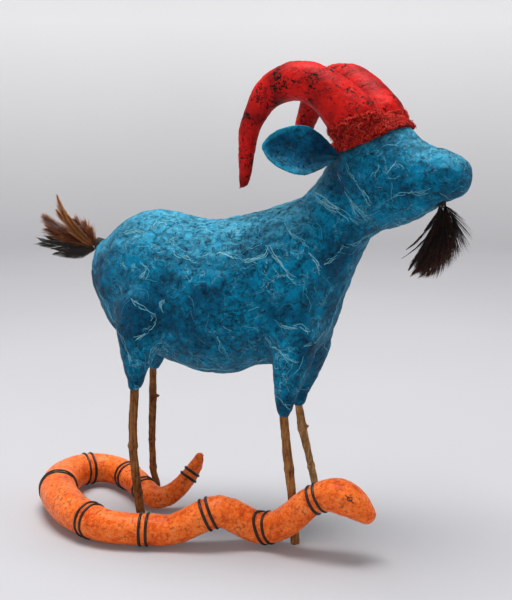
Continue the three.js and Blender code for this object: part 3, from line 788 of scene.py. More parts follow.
def wound_finish(name, main, light, spacing, rough):
    """Twisted thread or cord, worn along its crests, with a slanting rib every `spacing` millimetres.

    Real ribs are about a millimetre apart. These are drawn far coarser.
    """

    def recipe(tree):
        place = add(tree, "TexCoord").outputs["Object"]
        rib = add(
            tree,
            "TexWave",
            {"Vector": place, "Scale": per_mm(spacing) * WAVE_SPAN, "Distortion": 1.5, "Detail": 2.0},
            bands_direction="DIAGONAL",
        )
        wear = add(tree, "TexNoise", {"Vector": place, "Scale": per_mm(3), "Detail": 4.0})
        share = add(tree, "Math", {0: rib.outputs["Fac"], 1: wear.outputs["Fac"]}, operation="MULTIPLY")
        shade = add(
            tree, "ValToRGB", {"Fac": share.outputs[0]}, stops=((0.1, rgba(main)), (0.8, rgba(light)))
        )
        bump = add(tree, "Bump", {"Height": rib.outputs["Fac"], "Strength": 0.6, "Distance": 0.25 * MM})
        return {
            "Base Color": shade.outputs["Color"], "Roughness": rough, "Normal": bump.outputs[0], "IOR": 1.5
        }

    return material(name, recipe)


def eye_ink():
    """Ink brushed over the varnish: nearly black, slightly uneven and glossy."""

    def recipe(tree):
        place = add(tree, "TexCoord").outputs["Object"]
        pool = add(tree, "TexNoise", {"Vector": place, "Scale": per_mm(1.2), "Detail": 2.0})
        shade = add(
            tree,
            "ValToRGB",
            {"Fac": pool.outputs["Fac"]},
            stops=((0.3, rgba("#0a0908")), (0.8, rgba("#2b2623"))),
        )
        return {"Base Color": shade.outputs["Color"], "Roughness": 0.4, "IOR": 1.5}

    return material("black_ink", recipe)


def newsprint():
    """Crumpled waste paper inside the forms: grey-buff, creased, with yellowed edges."""

    def recipe(tree):
        place = add(tree, "TexCoord").outputs["Object"]
        crumple = add(tree, "TexVoronoi", {"Vector": place, "Scale": per_mm(14)}, feature="DISTANCE_TO_EDGE")
        yellow = add(
            tree, "TexNoise", {"Vector": place, "Scale": per_mm(20), "Detail": 5.0, "Roughness": 0.6}
        )
        shade = add(
            tree,
            "ValToRGB",
            {"Fac": yellow.outputs["Fac"]},
            stops=((0.35, rgba("#a79d88")), (0.65, rgba("#cfc8b8"))),
        )
        line = add(
            tree,
            "ValToRGB",
            {"Fac": crumple.outputs["Distance"]},
            stops=((0.0, (0.6, 0.6, 0.6, 1)), (0.08, BLACK)),
        )
        paper = add(
            tree,
            "Mix",
            {MIX_FACTOR: line.outputs["Color"], MIX_A: shade.outputs["Color"], MIX_B: rgba("#7f7767")},
            data_type="RGBA",
        )
        bump = add(
            tree, "Bump", {"Height": crumple.outputs["Distance"], "Strength": 0.8, "Distance": 1.5 * MM}
        )
        return {
            "Base Color": paper.outputs[MIX_OUT], "Roughness": 0.95, "Normal": bump.outputs[0], "IOR": 1.5
        }

    return material("crumpled_newsprint", recipe)


def annealed_wire():
    """Drawn steel wire, annealed: dull grey with heat-darkened patches and fine draw lines."""

    def recipe(tree):
        place = add(tree, "TexCoord").outputs["Object"]
        scale = add(tree, "TexNoise", {"Vector": place, "Scale": per_mm(6), "Detail": 5.0, "Roughness": 0.6})
        shade = add(
            tree,
            "ValToRGB",
            {"Fac": scale.outputs["Fac"]},
            stops=((0.35, rgba("#54504b")), (0.65, rgba("#8d8f90"))),
        )
        rough = add(tree, "MapRange", {"Value": scale.outputs["Fac"], "To Min": 0.6, "To Max": 0.3})
        return {"Base Color": shade.outputs["Color"], "Metallic": 1.0, "Roughness": rough.outputs[0]}

    return material("annealed_steel_wire", recipe)


# ---------------------------------------------------------------- pieces
class FIGURE_OT_paper_skin(bpy.types.Operator):
    """Lays one dyed paper skin over torso, neck, head and the tops of the legs"""

    bl_idname = "figure.paper_skin"
    bl_label = "Paper skin"

    def execute(self, context):
        s = sizes()
        wraps = [f"{leg}_leg_wrap" for leg in LEGS]
        fillers = []
        for leg in LEGS:
            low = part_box(f"{leg}_leg_wrap")[0].z
            filler = copy_of(f"{leg}_filler", f"{leg}_leg_twig")
            cut = {
                "plane_co": (0, 0, low + 0.2 * MM),
                "plane_no": (0, 0, 1),
                "use_fill": True,
                "clear_inner": True,
            }
            edit_all(filler, (bpy.ops.mesh.bisect, cut))
            fillers.append(filler)
        form = copy_of(
            "form", "torso_shell", "head_shell", "torso_stuffing", "head_stuffing", "tail_binding", *wraps
        )
        skin = reskin(join("paper_skin", [form, *fillers]), s.skin_grid, 8, 1)
        press(skin, "CLOUDS", 34 * MM, s.skin_lump, noise_depth=1)
        press(
            skin,
            "MUSGRAVE",
            13 * MM,
            -s.skin_crease,
            musgrave_type="RIDGED_MULTIFRACTAL",
            noise_intensity=0.6,
        )
        press(skin, "CLOUDS", 5 * MM, 0.55 * s.skin_crease, noise_depth=3)
        smooth_faces(skin)
        settle(skin, "goat", "teal_paper", teal_paper(), "torso_shell", "head_shell", *wraps)
        return {"FINISHED"}


# Long fibres on the goat's right side, as places in millimetres that each passes.
LONG_FIBRES = (
    (
        (-92, -26, 248), (-83, -28, 250), (-71, -32, 249), (-64, -23, 258), (-53, -20, 258), (-38, -23, 253),
        (-27, -21, 253), (-14, -29, 249),
    ),
    (
        (-59, -42, 236), (-47, -41, 237), (-39, -44, 233), (-29, -44, 232), (-17, -43, 233), (-7, -42, 237),
        (4, -45, 234), (12, -46, 231), (21, -45, 232), (28, -43, 235), (31, -40, 242),
    ),
    ((30, -40, 243), (35, -42, 235), (42, -44, 230), (47, -45, 221), (54, -45, 211)),
    (
        (41, -24, 264), (42, -29, 259), (50, -36, 251), (58, -38, 246), (63, -39, 238), (69, -38, 230),
        (71, -36, 225),
    ),
    (
        (74, -34, 229), (79, -31, 231), (86, -27, 238), (90, -25, 244), (95, -20, 242), (102, -15, 247),
        (107, -10, 250),
    ),
    ((62, -14, 283), (67, -22, 278), (75, -27, 274), (86, -28, 271)),
    ((90, -6, 210), (84, -12, 198), (79, -14, 182), (72, -13, 164)),
    ((-119, -23, 206), (-107, -33, 190), (-101, -29, 175), (-87, -54, 169), (-84, -55, 160), (-80, -56, 148)),
    ((-78, -54, 199), (-69, -56, 191), (-61, -53, 186), (-59, -52, 180), (-65, -55, 173), (-74, -57, 167)),
    ((-51, -52, 198), (-55, -51, 195), (-55, -50, 187), (-49, -51, 184), (-44, -53, 191)),
    ((40, -44, 181), (50, -47, 179), (58, -45, 180), (66, -41, 174)),
    ((28, -41, 168), (33, -41, 162), (43, -50, 160), (51, -52, 153), (57, -50, 152)),
    (
        (-55, -31, 150), (-47, -21, 141), (-36, -20, 137), (-19, -26, 138), (-7, -22, 137), (3, -18, 138),
        (15, -18, 144), (28, -27, 150),
    ),
    ((-7, -50, 170), (-6, -46, 162), (-5, -43, 156)),
    ((-74, -44, 228), (-67, -48, 221), (-71, -48, 215)),
    ((-66, -49, 147), (-62, -49, 158), (-57, -40, 163)),
    ((40, -49, 124), (45, -50, 118), (50, -47, 113)),
    ((125, -41, 282), (136, -44, 286), (149, -45, 286), (156, -46, 289)),
    ((83, -24, 300), (87, -29, 292), (93, -32, 280), (99, -32, 271), (108, -28, 264)),
    ((64, -16, 283), (72, -24, 279), (81, -28, 274), (90, -28, 267), (100, -26, 260)),
    ((116, -17, 255), (125, -26, 261), (134, -18, 259), (145, -29, 267), (156, -30, 272)),
    ((123, -43, 301), (131, -42, 308), (136, -44, 305)),
    ((89, -29, 306), (96, -35, 296), (104, -37, 287), (111, -36, 276)),
    ((-80, -53, 129), (-77, -51, 124), (-74, -49, 125)),
    ((62, -46, 165), (70, -33, 167), (74, -16, 172)),
)


class FIGURE_OT_skin_fibres(bpy.types.Operator):
    """Lays the long and short mulberry fibres that show pale on the dyed skin"""

    bl_idname = "figure.skin_fibres"
    bl_label = "Skin fibres"

    def execute(self, context):
        s = sizes()
        rng = np.random.default_rng(11)
        skin = Surface(bpy.data.objects["paper_skin"])
        steps = 9
        sunk = 0.08 * MM  # height of a hair's middle over the skin
        bundles = []
        for line in LONG_FIBRES:
            stops = np.array(line, float) * MM
            reach = np.concatenate([[0], np.cumsum(np.linalg.norm(np.diff(stops, axis=0), axis=1))])
            # a fibre in the paper is a loose bundle of short hairs that part and meet again
            for _ in range(max(4, int(reach[-1] / (1.7 * MM)) // 2)):
                middle, span = rng.uniform(0, 1), rng.uniform(6, 16) * MM / reach[-1]
                at = np.clip(np.linspace(middle - span / 2, middle + span / 2, steps), 0, 1) * reach[-1]
                path = np.stack([np.interp(at, reach, stops[:, i]) for i in range(3)], axis=1)
                stray = np.cumsum(rng.normal(0, 1, (steps, 3)), axis=0) * 0.45 * MM
                stray = stray + rng.normal(0, 0.5, 3) * MM
                found = [skin.tree.find_nearest(Vector(p)) for p in path + stray]
                points = [f[0] + f[1] * sunk for f in found]
                girth = np.full(steps, s.fibre_radius * rng.uniform(0.5, 1.25))
                bundles.append(([points], [[f[1] for f in found]], [girth], [rng.uniform(0.35, 1.0)]))
        rows = []
        for spot, _ in skin.spots(s.fibres, rng):
            heading = Vector(rng.normal(0, 1, 3))
            length = rng.uniform(0.5, 2.6) * MM
            points, normals = skin.crawl(spot, heading, steps, length, 0.35, sunk, rng)
            girth = s.fibre_radius * rng.uniform(0.4, 0.85)
            rows.append((points, normals, np.full(steps, girth), rng.uniform(0.0, 0.7)))
        bundles.append(tuple(zip(*rows)))
        settle(strands("skin_fibres", bundles, 4, 0.55), "goat", "teal_paper", fibre_finish())
        return {"FINISHED"}


class FIGURE_OT_ears(bpy.types.Operator):
    """Models the two leaf ears, pleated at their roots, with a painted highlight along their edges and
    painted shade in their cups
    """

    bl_idname = "figure.ears"
    bl_label = "Ears"

    def execute(self, context):
        low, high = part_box("head_shell")
        head = np.array((low + high) / 2)
        for side in ("right", "left"):
            node = f"ear_{side}"
            ear = reskin(copy_of(f"{node}_leaf", node), 0.85 * MM, 5)
            mesh = ear.data
            co = np.array([v.co for v in mesh.vertices])
            middle = co.mean(axis=0)
            axes = np.linalg.svd(co - middle, full_matrices=False)[2]
            ahead, across = axes[0], axes[1]
            ahead = ahead * np.sign(ahead @ (middle - head))  # from the root to the tip
            t = (co - middle) @ ahead
            t = (t - t.min()) / (t.max() - t.min())  # 0 at the root, 1 at the tip
            u = (co - middle) @ across
            # the leaf narrows to a stalk at its root and is fullest past its middle
            fuller = np.interp(t, (0.0, 0.2, 0.45, 0.75, 1.0), (0.4, 0.72, 1.0, 1.12, 1.35)) - 1
            co += (fuller * u)[:, None] * across
            u = u * (1 + fuller)
            half = np.maximum(1e-4, 21 * MM * np.sin(np.pi * np.clip(t, 0.03, 0.98) ** 0.85) ** 0.8)
            edge = np.clip(np.abs(u) / half, 0, 1) ** 3
            edge = np.maximum(edge, np.clip((t - 0.9) / 0.1, 0, 1))
            # pleats fan out of the root and fade towards the tip
            thin = np.cross(ahead, across)
            pleat = 0.9 * MM * np.sin(u / half * 9.0) * np.clip(1 - t / 0.45, 0, 1) * (1 - edge)
            co += pleat[:, None] * thin
            mesh.vertices.foreach_set("co", co.astype(np.float32).ravel())
            # the edge mask also places the painted highlight along the rim; the mask below places the painted
            # shade inside the cup
            hollow_shade = np.clip(1.25 - edge * 1.4, 0, 1) * np.clip(1.15 - 0.9 * np.abs(t - 0.38), 0, 1)
            for label, values in (("edge", edge), ("hollow_shade", hollow_shade * 0.85)):
                mesh.attributes.new(label, "FLOAT", "POINT").data.foreach_set(
                    "value", values.astype(np.float32)
                )
            mesh.update()
            press(ear, "CLOUDS", 6 * MM, 0.5 * MM, noise_depth=2)
            smooth_faces(ear)
            settle(ear, "goat", "teal_paper", ear_paper(), node)
        return {"FINISHED"}


class FIGURE_OT_horns(bpy.types.Operator):
    """Models the two curled horns of pasted and painted paper"""

    bl_idname = "figure.horns"
    bl_label = "Horns"

    def execute(self, context):
        for side in ("right", "left"):
            node = f"horn_{side}"
            horn = reskin(copy_of(f"{node}_paper", node, f"horn_wire_{side}"), 2.0 * MM, 60, 1)
            press(horn, "CLOUDS", 18 * MM, 1.1 * MM, noise_depth=2)
            press(
                horn, "MUSGRAVE", 7 * MM, -0.5 * MM, musgrave_type="RIDGED_MULTIFRACTAL", noise_intensity=0.6
            )
            smooth_faces(horn)
            settle(horn, "goat", "red_paper", red_paint(), node)
        return {"FINISHED"}


class FIGURE_OT_ruff(bpy.types.Operator):
    """Models the ruff of matted red fibre round the horns' roots, with its loose hairs"""

    bl_idname = "figure.ruff"
    bl_label = "Ruff"

    def execute(self, context):
        s = sizes()
        rng = np.random.default_rng(23)
        up = Vector((0, 0, math.cos(RUFF_LEAN))) - HEAD_AHEAD * math.sin(RUFF_LEAN)
        ruff = copy_of("ruff_felt", "horn_ruff")
        edge = min(v.co.dot(up) for v in ruff.data.vertices)
        cuffs = copy_of("cuffs", "horn_right", "horn_left")
        cut = {"plane_co": up * (edge + s.ruff_height), "plane_no": up, "use_fill": True, "clear_outer": True}
        edit_all(cuffs, (bpy.ops.mesh.bisect, cut))
        apply_modifiers(cuffs, ("DISPLACE", {"strength": 1.5 * MM, "mid_level": 0.0}))
        felt = reskin(join("ruff_felt", [ruff, cuffs]), 1.5 * MM, 6, 1)
        press(felt, "CLOUDS", 8 * MM, 2.6 * MM, noise_depth=3)
        smooth_faces(felt)
        finish = ruff_fibre("matted_red_fibre", "#6d0808", "#c61a14", "#e4372a")
        settle(felt, "goat", "red_fibre", finish, "horn_ruff")
        surface = Surface(felt)
        low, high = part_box("horn_ruff")
        centre = np.array((low + high) / 2)
        steps = 5
        rows = []

        def outward(centres, normals):
            return np.maximum(0.02, ((centres - centre) * normals).sum(axis=1) > 0)

        for spot, _ in surface.spots(s.fuzz, rng, outward):
            heading = Vector(rng.normal(0, 1, 3)) + Vector((0, 0, -0.35))
            length = s.fuzz_length * rng.uniform(0.45, 1.0)
            points, normals = surface.crawl(spot, heading, steps, length / steps, 0.25, 0, rng)
            rise = rng.uniform(0.1, 0.9) ** 2 * 2.6 * MM
            lifts = 0.15 * MM + rise * np.linspace(0, 1, steps) ** 1.5
            points = [p + n * float(lift) for p, n, lift in zip(points, normals, lifts)]
            rows.append((points, normals, np.full(steps, rng.uniform(0.14, 0.26) * MM), rng.random()))
        hairs = strands("ruff_hairs", [tuple(zip(*rows))])
        settle(hairs, "goat", "red_fibre", ruff_fibre("loose_red_fibre", "#8a0d0b", "#e22a1c", "#f4705c"))
        return {"FINISHED"}


# Knots of each twig: share of its shown height, half width in millimetres, and a stub's reach in
# millimetres and direction in degrees.
KNOTS = {
    "rear_right": ((0.62, 4.3, 0, 0), (0.28, 4.1, 0, 0)),
    "rear_left": ((0.79, 3.8, 3.5, -20), (0.45, 3.6, 0, 0), (0.22, 3.8, 0, 0)),
    "front_right": ((0.60, 4.5, 0, 0), (0.30, 4.2, 0, 0)),
    "front_left": ((0.79, 4.7, 2.0, -25), (0.40, 3.9, 0, 0)),
}

BROWN_BARK = ("brown_twig_bark", "#7f4f27", "#a0703f", "#40240f")
TAN_BARK = ("tan_twig_bark", "#8f6034", "#b58550", "#52321a")
PALE_BARK = ("pale_twig_bark", "#a5794a", "#c9a272", "#674324")
TWIG_BARKS = {
    "rear_right": BROWN_BARK, "rear_left": BROWN_BARK, "front_right": TAN_BARK, "front_left": PALE_BARK
}


class FIGURE_OT_twigs(bpy.types.Operator):
    """Models the four twig legs with their knots, stubs and bark"""

    bl_idname = "figure.twigs"
    bl_label = "Twig legs"

    def execute(self, context):
        for leg in LEGS:
            node = f"{leg}_leg_twig"
            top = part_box(f"{leg}_leg_wrap")[0].z
            stem = copy_of(f"{leg}_twig", node)
            apply_modifiers(stem, ("REMESH", {"mode": "VOXEL", "voxel_size": 1.2 * MM}))
            co = np.array([v.co for v in stem.data.vertices])
            parts = [stem]
            for share, half, reach, bearing in KNOTS[leg]:
                z = share * top
                centre = Vector((*co[np.abs(co[:, 2] - z) < 1.5 * MM][:, :2].mean(axis=0), z))
                bpy.ops.object.select_all(action="DESELECT")
                bpy.ops.mesh.primitive_uv_sphere_add(
                    segments=16, ring_count=10, radius=half * MM, location=centre
                )
                bpy.context.object.scale = (1, 1, 1.25)
                bpy.ops.object.transform_apply(location=True, rotation=True, scale=True)
                parts.append(bpy.context.object)
                if reach:
                    turn = math.radians(bearing)
                    lean = Vector((math.cos(turn), -abs(math.sin(turn)), 0.35)).normalized()
                    bpy.ops.object.select_all(action="DESELECT")
                    bpy.ops.mesh.primitive_cone_add(
                        vertices=12,
                        radius1=0.6 * half * MM,
                        radius2=0.32 * half * MM,
                        depth=(half + reach) * MM,
                        location=centre + lean * (half + reach) / 2 * MM,
                        rotation=lean.to_track_quat("Z", "Y").to_euler(),
                    )
                    bpy.ops.object.transform_apply(location=True, rotation=True, scale=True)
                    parts.append(bpy.context.object)
            twig = reskin(join(f"{leg}_twig", parts), 0.9 * MM, 4)
            press(twig, "CLOUDS", 9 * MM, 0.9 * MM, noise_depth=2)
            self.stand_flat(twig)
            smooth_faces(twig)
            settle(twig, "goat", "twig_bark", bark(*TWIG_BARKS[leg]), node)
        return {"FINISHED"}

    @staticmethod
    def stand_flat(twig):
        """Sets the twig's sawn foot back on the floor after the bark's lumps."""
        mesh = twig.data
        co = np.array([v.co for v in mesh.vertices])
        low, sole = co[:, 2].min(), 3 * MM
        co[:, 2] = np.where(co[:, 2] < sole, (co[:, 2] - low) * sole / (sole - low), co[:, 2])
        mesh.vertices.foreach_set("co", co.astype(np.float32).ravel())
        mesh.update()


EYE_BACK, EYE_ACROSS, EYE_HEIGHT = 19.5 * MM, -83 * MM, 54.5 * MM  # behind the snout, in y, over the floor


class FIGURE_OT_snake(bpy.types.Operator):
    """Models the snake's paper body and its inked eye"""

    bl_idname = "figure.snake"
    bl_label = "Snake"

    def execute(self, context):
        snake = reskin(copy_of("snake_paper", "snake_body", "snake_wire"), 1.8 * MM, 12)
        press(snake, "CLOUDS", 11 * MM, 1.0 * MM, noise_depth=2)
        press(snake, "CLOUDS", 3.4 * MM, 0.5 * MM, noise_depth=1)
        smooth_faces(snake)
        settle(snake, "snake", "orange_paper", snake_paint(), "snake_body")
        surface = Surface(snake)
        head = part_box("snake_body")[1]
        bundles = []
        for side in (-1, 1):
            eye = self.eye_place(surface, side, head)
            bundles += self.eye_strokes(surface, *eye)
        settle(strands("snake_eyes", bundles, 5, 0.5), "snake", "black_cord", eye_ink())
        return {"FINISHED"}

    @staticmethod
    def eye_place(surface, side, head):
        """Place and normal of an eye, on the flank of the head."""
        start = Vector((head.x - EYE_BACK, EYE_ACROSS + side * 0.05, EYE_HEIGHT))
        spot, normal, _, _ = surface.tree.ray_cast(start, Vector((0, -side, 0)))
        return spot, normal

    @staticmethod
    def eye_strokes(surface, spot, normal):
        """A ring and one slanting stroke, each a closed strand of ink laid on the surface."""
        ahead = Vector((1, 0, 0))
        ahead = (ahead - normal * ahead.dot(normal)).normalized()
        rise = normal.cross(ahead)
        rise *= 1 if rise.z > 0 else -1
        ring = [
            spot + ahead * 1.9 * MM * math.cos(a) + rise * 1.5 * MM * math.sin(a)
            for a in np.linspace(0, 2 * math.pi + 0.3, 18)
        ]
        stroke = [spot + ahead * x * MM + rise * y * MM for x, y in np.linspace((-4.2, 3.4), (3.8, -3.4), 12)]
        bundles = []
        for path, girth in ((ring, 0.4), (stroke, 0.4)):
            found = [surface.tree.find_nearest(p) for p in path]
            points = [f[0] + f[1] * 0.05 * MM for f in found]
            bundles.append(([points], [[f[1] for f in found]], [np.full(len(path), girth * MM)], [0.5]))
        return bundles


class FIGURE_OT_snake_cords(bpy.types.Operator):
    """Ties the pairs of black waxed cords round the snake"""

    bl_idname = "figure.snake_cords"
    bl_label = "Snake cords"

    def execute(self, context):
        radius = sizes().cord_radius
        finish = wound_finish("black_waxed_cord", "#050505", "#1d1b1a", CORD_RIBS, 0.45)
        for node in sorted(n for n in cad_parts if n.startswith("snake_band_")):
            co = np.array([v.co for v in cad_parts[node].data.vertices])
            centre = (co.min(axis=0) + co.max(axis=0)) / 2
            ahead = np.linalg.svd(co - centre, full_matrices=False)[2][2]
            reach = np.linalg.norm(co - centre, axis=1).max() + 3 * MM
            outline = self.cross_section(centre, ahead, reach)
            cord = self.wound_cord(node.replace("snake_band", "snake_cord"), outline, centre, ahead, radius)
            settle(cord, "snake", "black_cord", finish, node)
        return {"FINISHED"}

    @staticmethod
    def cross_section(centre, ahead, reach):
        """Points of the snake's outline where a plane crosses it near centre, evenly round it."""
        slice_of = bpy.data.objects.new("slice", bpy.data.objects["snake_paper"].data.copy())
        bpy.context.collection.objects.link(slice_of)
        cut = {"plane_co": centre, "plane_no": ahead, "clear_inner": True, "clear_outer": True}
        edit_all(slice_of, (bpy.ops.mesh.bisect, cut))
        co = np.array([v.co for v in slice_of.data.vertices]) - centre
        bpy.data.objects.remove(slice_of)
        co = co[np.linalg.norm(co, axis=1) < reach]
        across = np.cross(ahead, (0, 0, 1))
        across /= np.linalg.norm(across)
        up = np.cross(across, ahead)
        angles, radii = np.arctan2(co @ up, co @ across), np.hypot(co @ up, co @ across)
        order = np.argsort(angles)
        turn = np.linspace(-np.pi, np.pi, 56, endpoint=False)
        out = np.interp(turn, angles[order], radii[order], period=2 * np.pi)
        for _ in range(3):
            out = (np.roll(out, 1) + 2 * out + np.roll(out, -1)) / 4
        return centre + out[:, None] * (np.cos(turn)[:, None] * across + np.sin(turn)[:, None] * up)

    @staticmethod
    def wound_cord(name, outline, centre, ahead, radius):
        """A round cord whose middle runs along a closed outline."""
        sides = 8
        outward = outline - centre
        outward /= np.linalg.norm(outward, axis=1, keepdims=True)
        turn = np.arange(sides) * 2 * np.pi / sides
        verts = outline[:, None] + radius * (
            np.cos(turn)[None, :, None] * outward[:, None] + np.sin(turn)[None, :, None] * ahead
        )
        count = len(outline)
        faces = [
            (a * sides + s, a * sides + t, b * sides + t, b * sides + s)
            for a, b in zip(range(count), [*range(1, count), 0])
            for s, t in zip(range(sides), [*range(1, sides), 0])
        ]
        mesh = bpy.data.meshes.new(name)
        mesh.from_pydata(verts.reshape(-1, 3).tolist(), [], faces)
        cord = bpy.data.objects.new(name, mesh)
        bpy.context.collection.objects.link(cord)
        edit_all(cord, (bpy.ops.mesh.normals_make_consistent, {"inside": False}))
        smooth_faces(cord)
        return cord


def feather(
    root, middle, tip, across, width, rng, *, barbs=90, slant=28, bare=0.08, blunt=0.35, fluff=0.2, tone=0.5
):
    """A feather as two bundles of strands, its shaft and its barbs.

    It runs from root through middle to tip, and its vane is about `width` wide. Slant is a barb's angle
    from the shaft, bare the share of the shaft without barbs, blunt how soon the vane narrows to its
    tip, and fluff how ragged it is.
    """
    steps = 6
    control = 2 * middle - (root + tip) / 2

    def at(t):
        t = np.asarray(t)[..., None]
        return (1 - t) ** 2 * root + 2 * t * (1 - t) * control + t**2 * tip

    line = at(np.linspace(0, 1, steps))
    flat = np.cross(tip - root, across)
    flat = np.tile(flat / np.linalg.norm(flat), (steps, 1))
    shaft = ([line], [flat], [np.linspace(0.55, 0.12, steps) * MM], [tone * 0.6])
    places = np.repeat(np.sort(rng.uniform(bare, 1.0, barbs)), 2)
    count = len(places)
    side = np.tile([-1.0, 1.0], barbs)
    ahead = at(np.minimum(1, places + 0.01)) - at(places - 0.01)
    ahead /= np.linalg.norm(ahead, axis=1, keepdims=True)
    out = np.cross(np.cross(ahead, across), ahead)
    out /= np.linalg.norm(out, axis=1, keepdims=True)
    lean = np.radians(slant * (1 - 0.45 * places)) * rng.uniform(1 - fluff, 1 + fluff, count)
    profile = np.clip((places - bare) / 0.25 + 0.35, 0, 1) * np.clip((1 - places) / blunt + 0.25, 0, 1)
    reach = width * profile / np.sin(np.radians(slant)) * rng.uniform(1 - fluff, 1 + 0.4 * fluff, count) * 0.5
    s = np.linspace(0, 1, steps)[None, :, None]
    thick = np.cross(ahead, out)
    ways = ahead * np.cos(lean)[:, None] + out * (side * np.sin(lean))[:, None]
    points = at(places)[:, None, :] + ways[:, None, :] * reach[:, None, None] * s
    points = points + ahead[:, None, :] * (reach * 0.22)[:, None, None] * s**2
    ruffle = rng.normal(0, 0.10 + fluff * 0.22, count) * reach
    points = points + thick[:, None, :] * ruffle[:, None, None] * s**1.5
    radii = np.linspace(1.0, 0.45, steps)[None, :] * sizes().barb_radius
    radii = radii * rng.uniform(0.8, 1.3, count)[:, None]
    tones = np.clip(tone + rng.normal(0, 0.16, count), 0, 1)
    return [shaft, (points, np.repeat(thick[:, None, :], steps, axis=1), radii, tones)]


class FIGURE_OT_tail(bpy.types.Operator):
    """Models the tail's feathers: chestnut hackles, a brown plume and blunt black feathers"""

    bl_idname = "figure.tail"
    bl_label = "Feather tail"

    def execute(self, context):
        rng = np.random.default_rng(31)
        low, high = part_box("tail_binding")
        root = np.array(((low.x + 2 * MM), (low.y + high.y) / 2, low.z + 6 * MM))
        across = np.array((0.0, 0.0, 1.0))
        brown = feather_finish("brown_hackle_feather", "#2a0f06", "#8a4a1c", "#c98a4e")
        plume = feather_finish("russet_plume", "#1c0703", "#6d2f10", "#b8743c")
        black = feather_finish("black_feather", "#030202", "#0b0706", "#1d1210")
        # CAD node: finish, slot, then each feather's middle and tip from the root (ahead, left, up),
        # its width, and its settings
        groups = {
            "tail_feather_brown_hackle": (brown, "brown_feather", (
                ((-19, -3, 14), (-33, -4, 42), 6.5, {"slant": 14, "barbs": 130, "fluff": 0.1, "tone": 0.75}),
                ((-17, -1, 14), (-30, -1, 33), 5.0, {"slant": 14, "barbs": 100, "fluff": 0.15, "tone": 0.55}),
                ((-20, 1, 13), (-36, 2, 30), 6.0, {"slant": 16, "barbs": 100, "fluff": 0.2, "tone": 0.6}),
                ((-14, -2, 13), (-25, -3, 27), 5.0, {"slant": 16, "barbs": 80, "fluff": 0.2, "tone": 0.8}),
            )),
            "tail_feather_brown_broad": (plume, "brown_feather", (
                ((-23, -2, 10), (-46, -3, 25), 13.0, {"slant": 26, "barbs": 170, "fluff": 0.25, "tone": 0.6}),
                ((-23, 0, 7), (-44, 0, 15), 13.0, {"slant": 26, "barbs": 170, "fluff": 0.2, "tone": 0.5}),
                ((-21, 2, 6), (-41, 3, 10), 12.0, {"slant": 26, "barbs": 150, "fluff": 0.2, "tone": 0.45}),
                (
                    (-10, -1, 11), (-19, -1, 23), 12.0,
                    {"slant": 34, "barbs": 130, "fluff": 0.45, "tone": 0.55},
                ),
                ((-7, 1, 10), (-12, 2, 20), 11.0, {"slant": 36, "barbs": 120, "fluff": 0.5, "tone": 0.65}),
                ((-4, 0, 8), (-6, 0, 16), 9.0, {"slant": 38, "barbs": 90, "fluff": 0.5, "tone": 0.75}),
            )),
            "tail_feather_black_long": (black, "black_feather", (
                (
                    (-24, -1, 0), (-48, -2, 3.5), 11.0,
                    {"slant": 30, "barbs": 190, "blunt": 0.12, "fluff": 0.08, "tone": 0.4},
                ),
                (
                    (-22, 2, 2), (-43, 3, 5), 11.0,
                    {"slant": 30, "barbs": 170, "blunt": 0.12, "fluff": 0.1, "tone": 0.4},
                ),
            )),
            "tail_feather_black_short": (black, "black_feather", (
                (
                    (-17, -2, -4), (-33, -3, -4), 10.0,
                    {"slant": 30, "barbs": 170, "blunt": 0.15, "fluff": 0.1, "tone": 0.35},
                ),
                (
                    (-14, 1, -5), (-27, 1, -6), 9.0,
                    {"slant": 30, "barbs": 150, "blunt": 0.15, "fluff": 0.12, "tone": 0.3},
                ),
                (
                    (-10, 0, -2), (-22, 0, -1), 11.0,
                    {"slant": 34, "barbs": 120, "blunt": 0.2, "fluff": 0.2, "tone": 0.3},
                ),
            )),
        }
        for node, (finish, slot, feathers) in groups.items():
            bundles = []
            for middle, tip, width, settings in feathers:
                middle, tip = root + np.array(middle) * MM, root + np.array(tip) * MM
                bundles += feather(root, middle, tip, across, width * MM, rng, **settings)
            piece = strands(node.replace("feather_", "plumage_"), bundles)
            settle(piece, "tail", slot, finish, node)
        return {"FINISHED"}


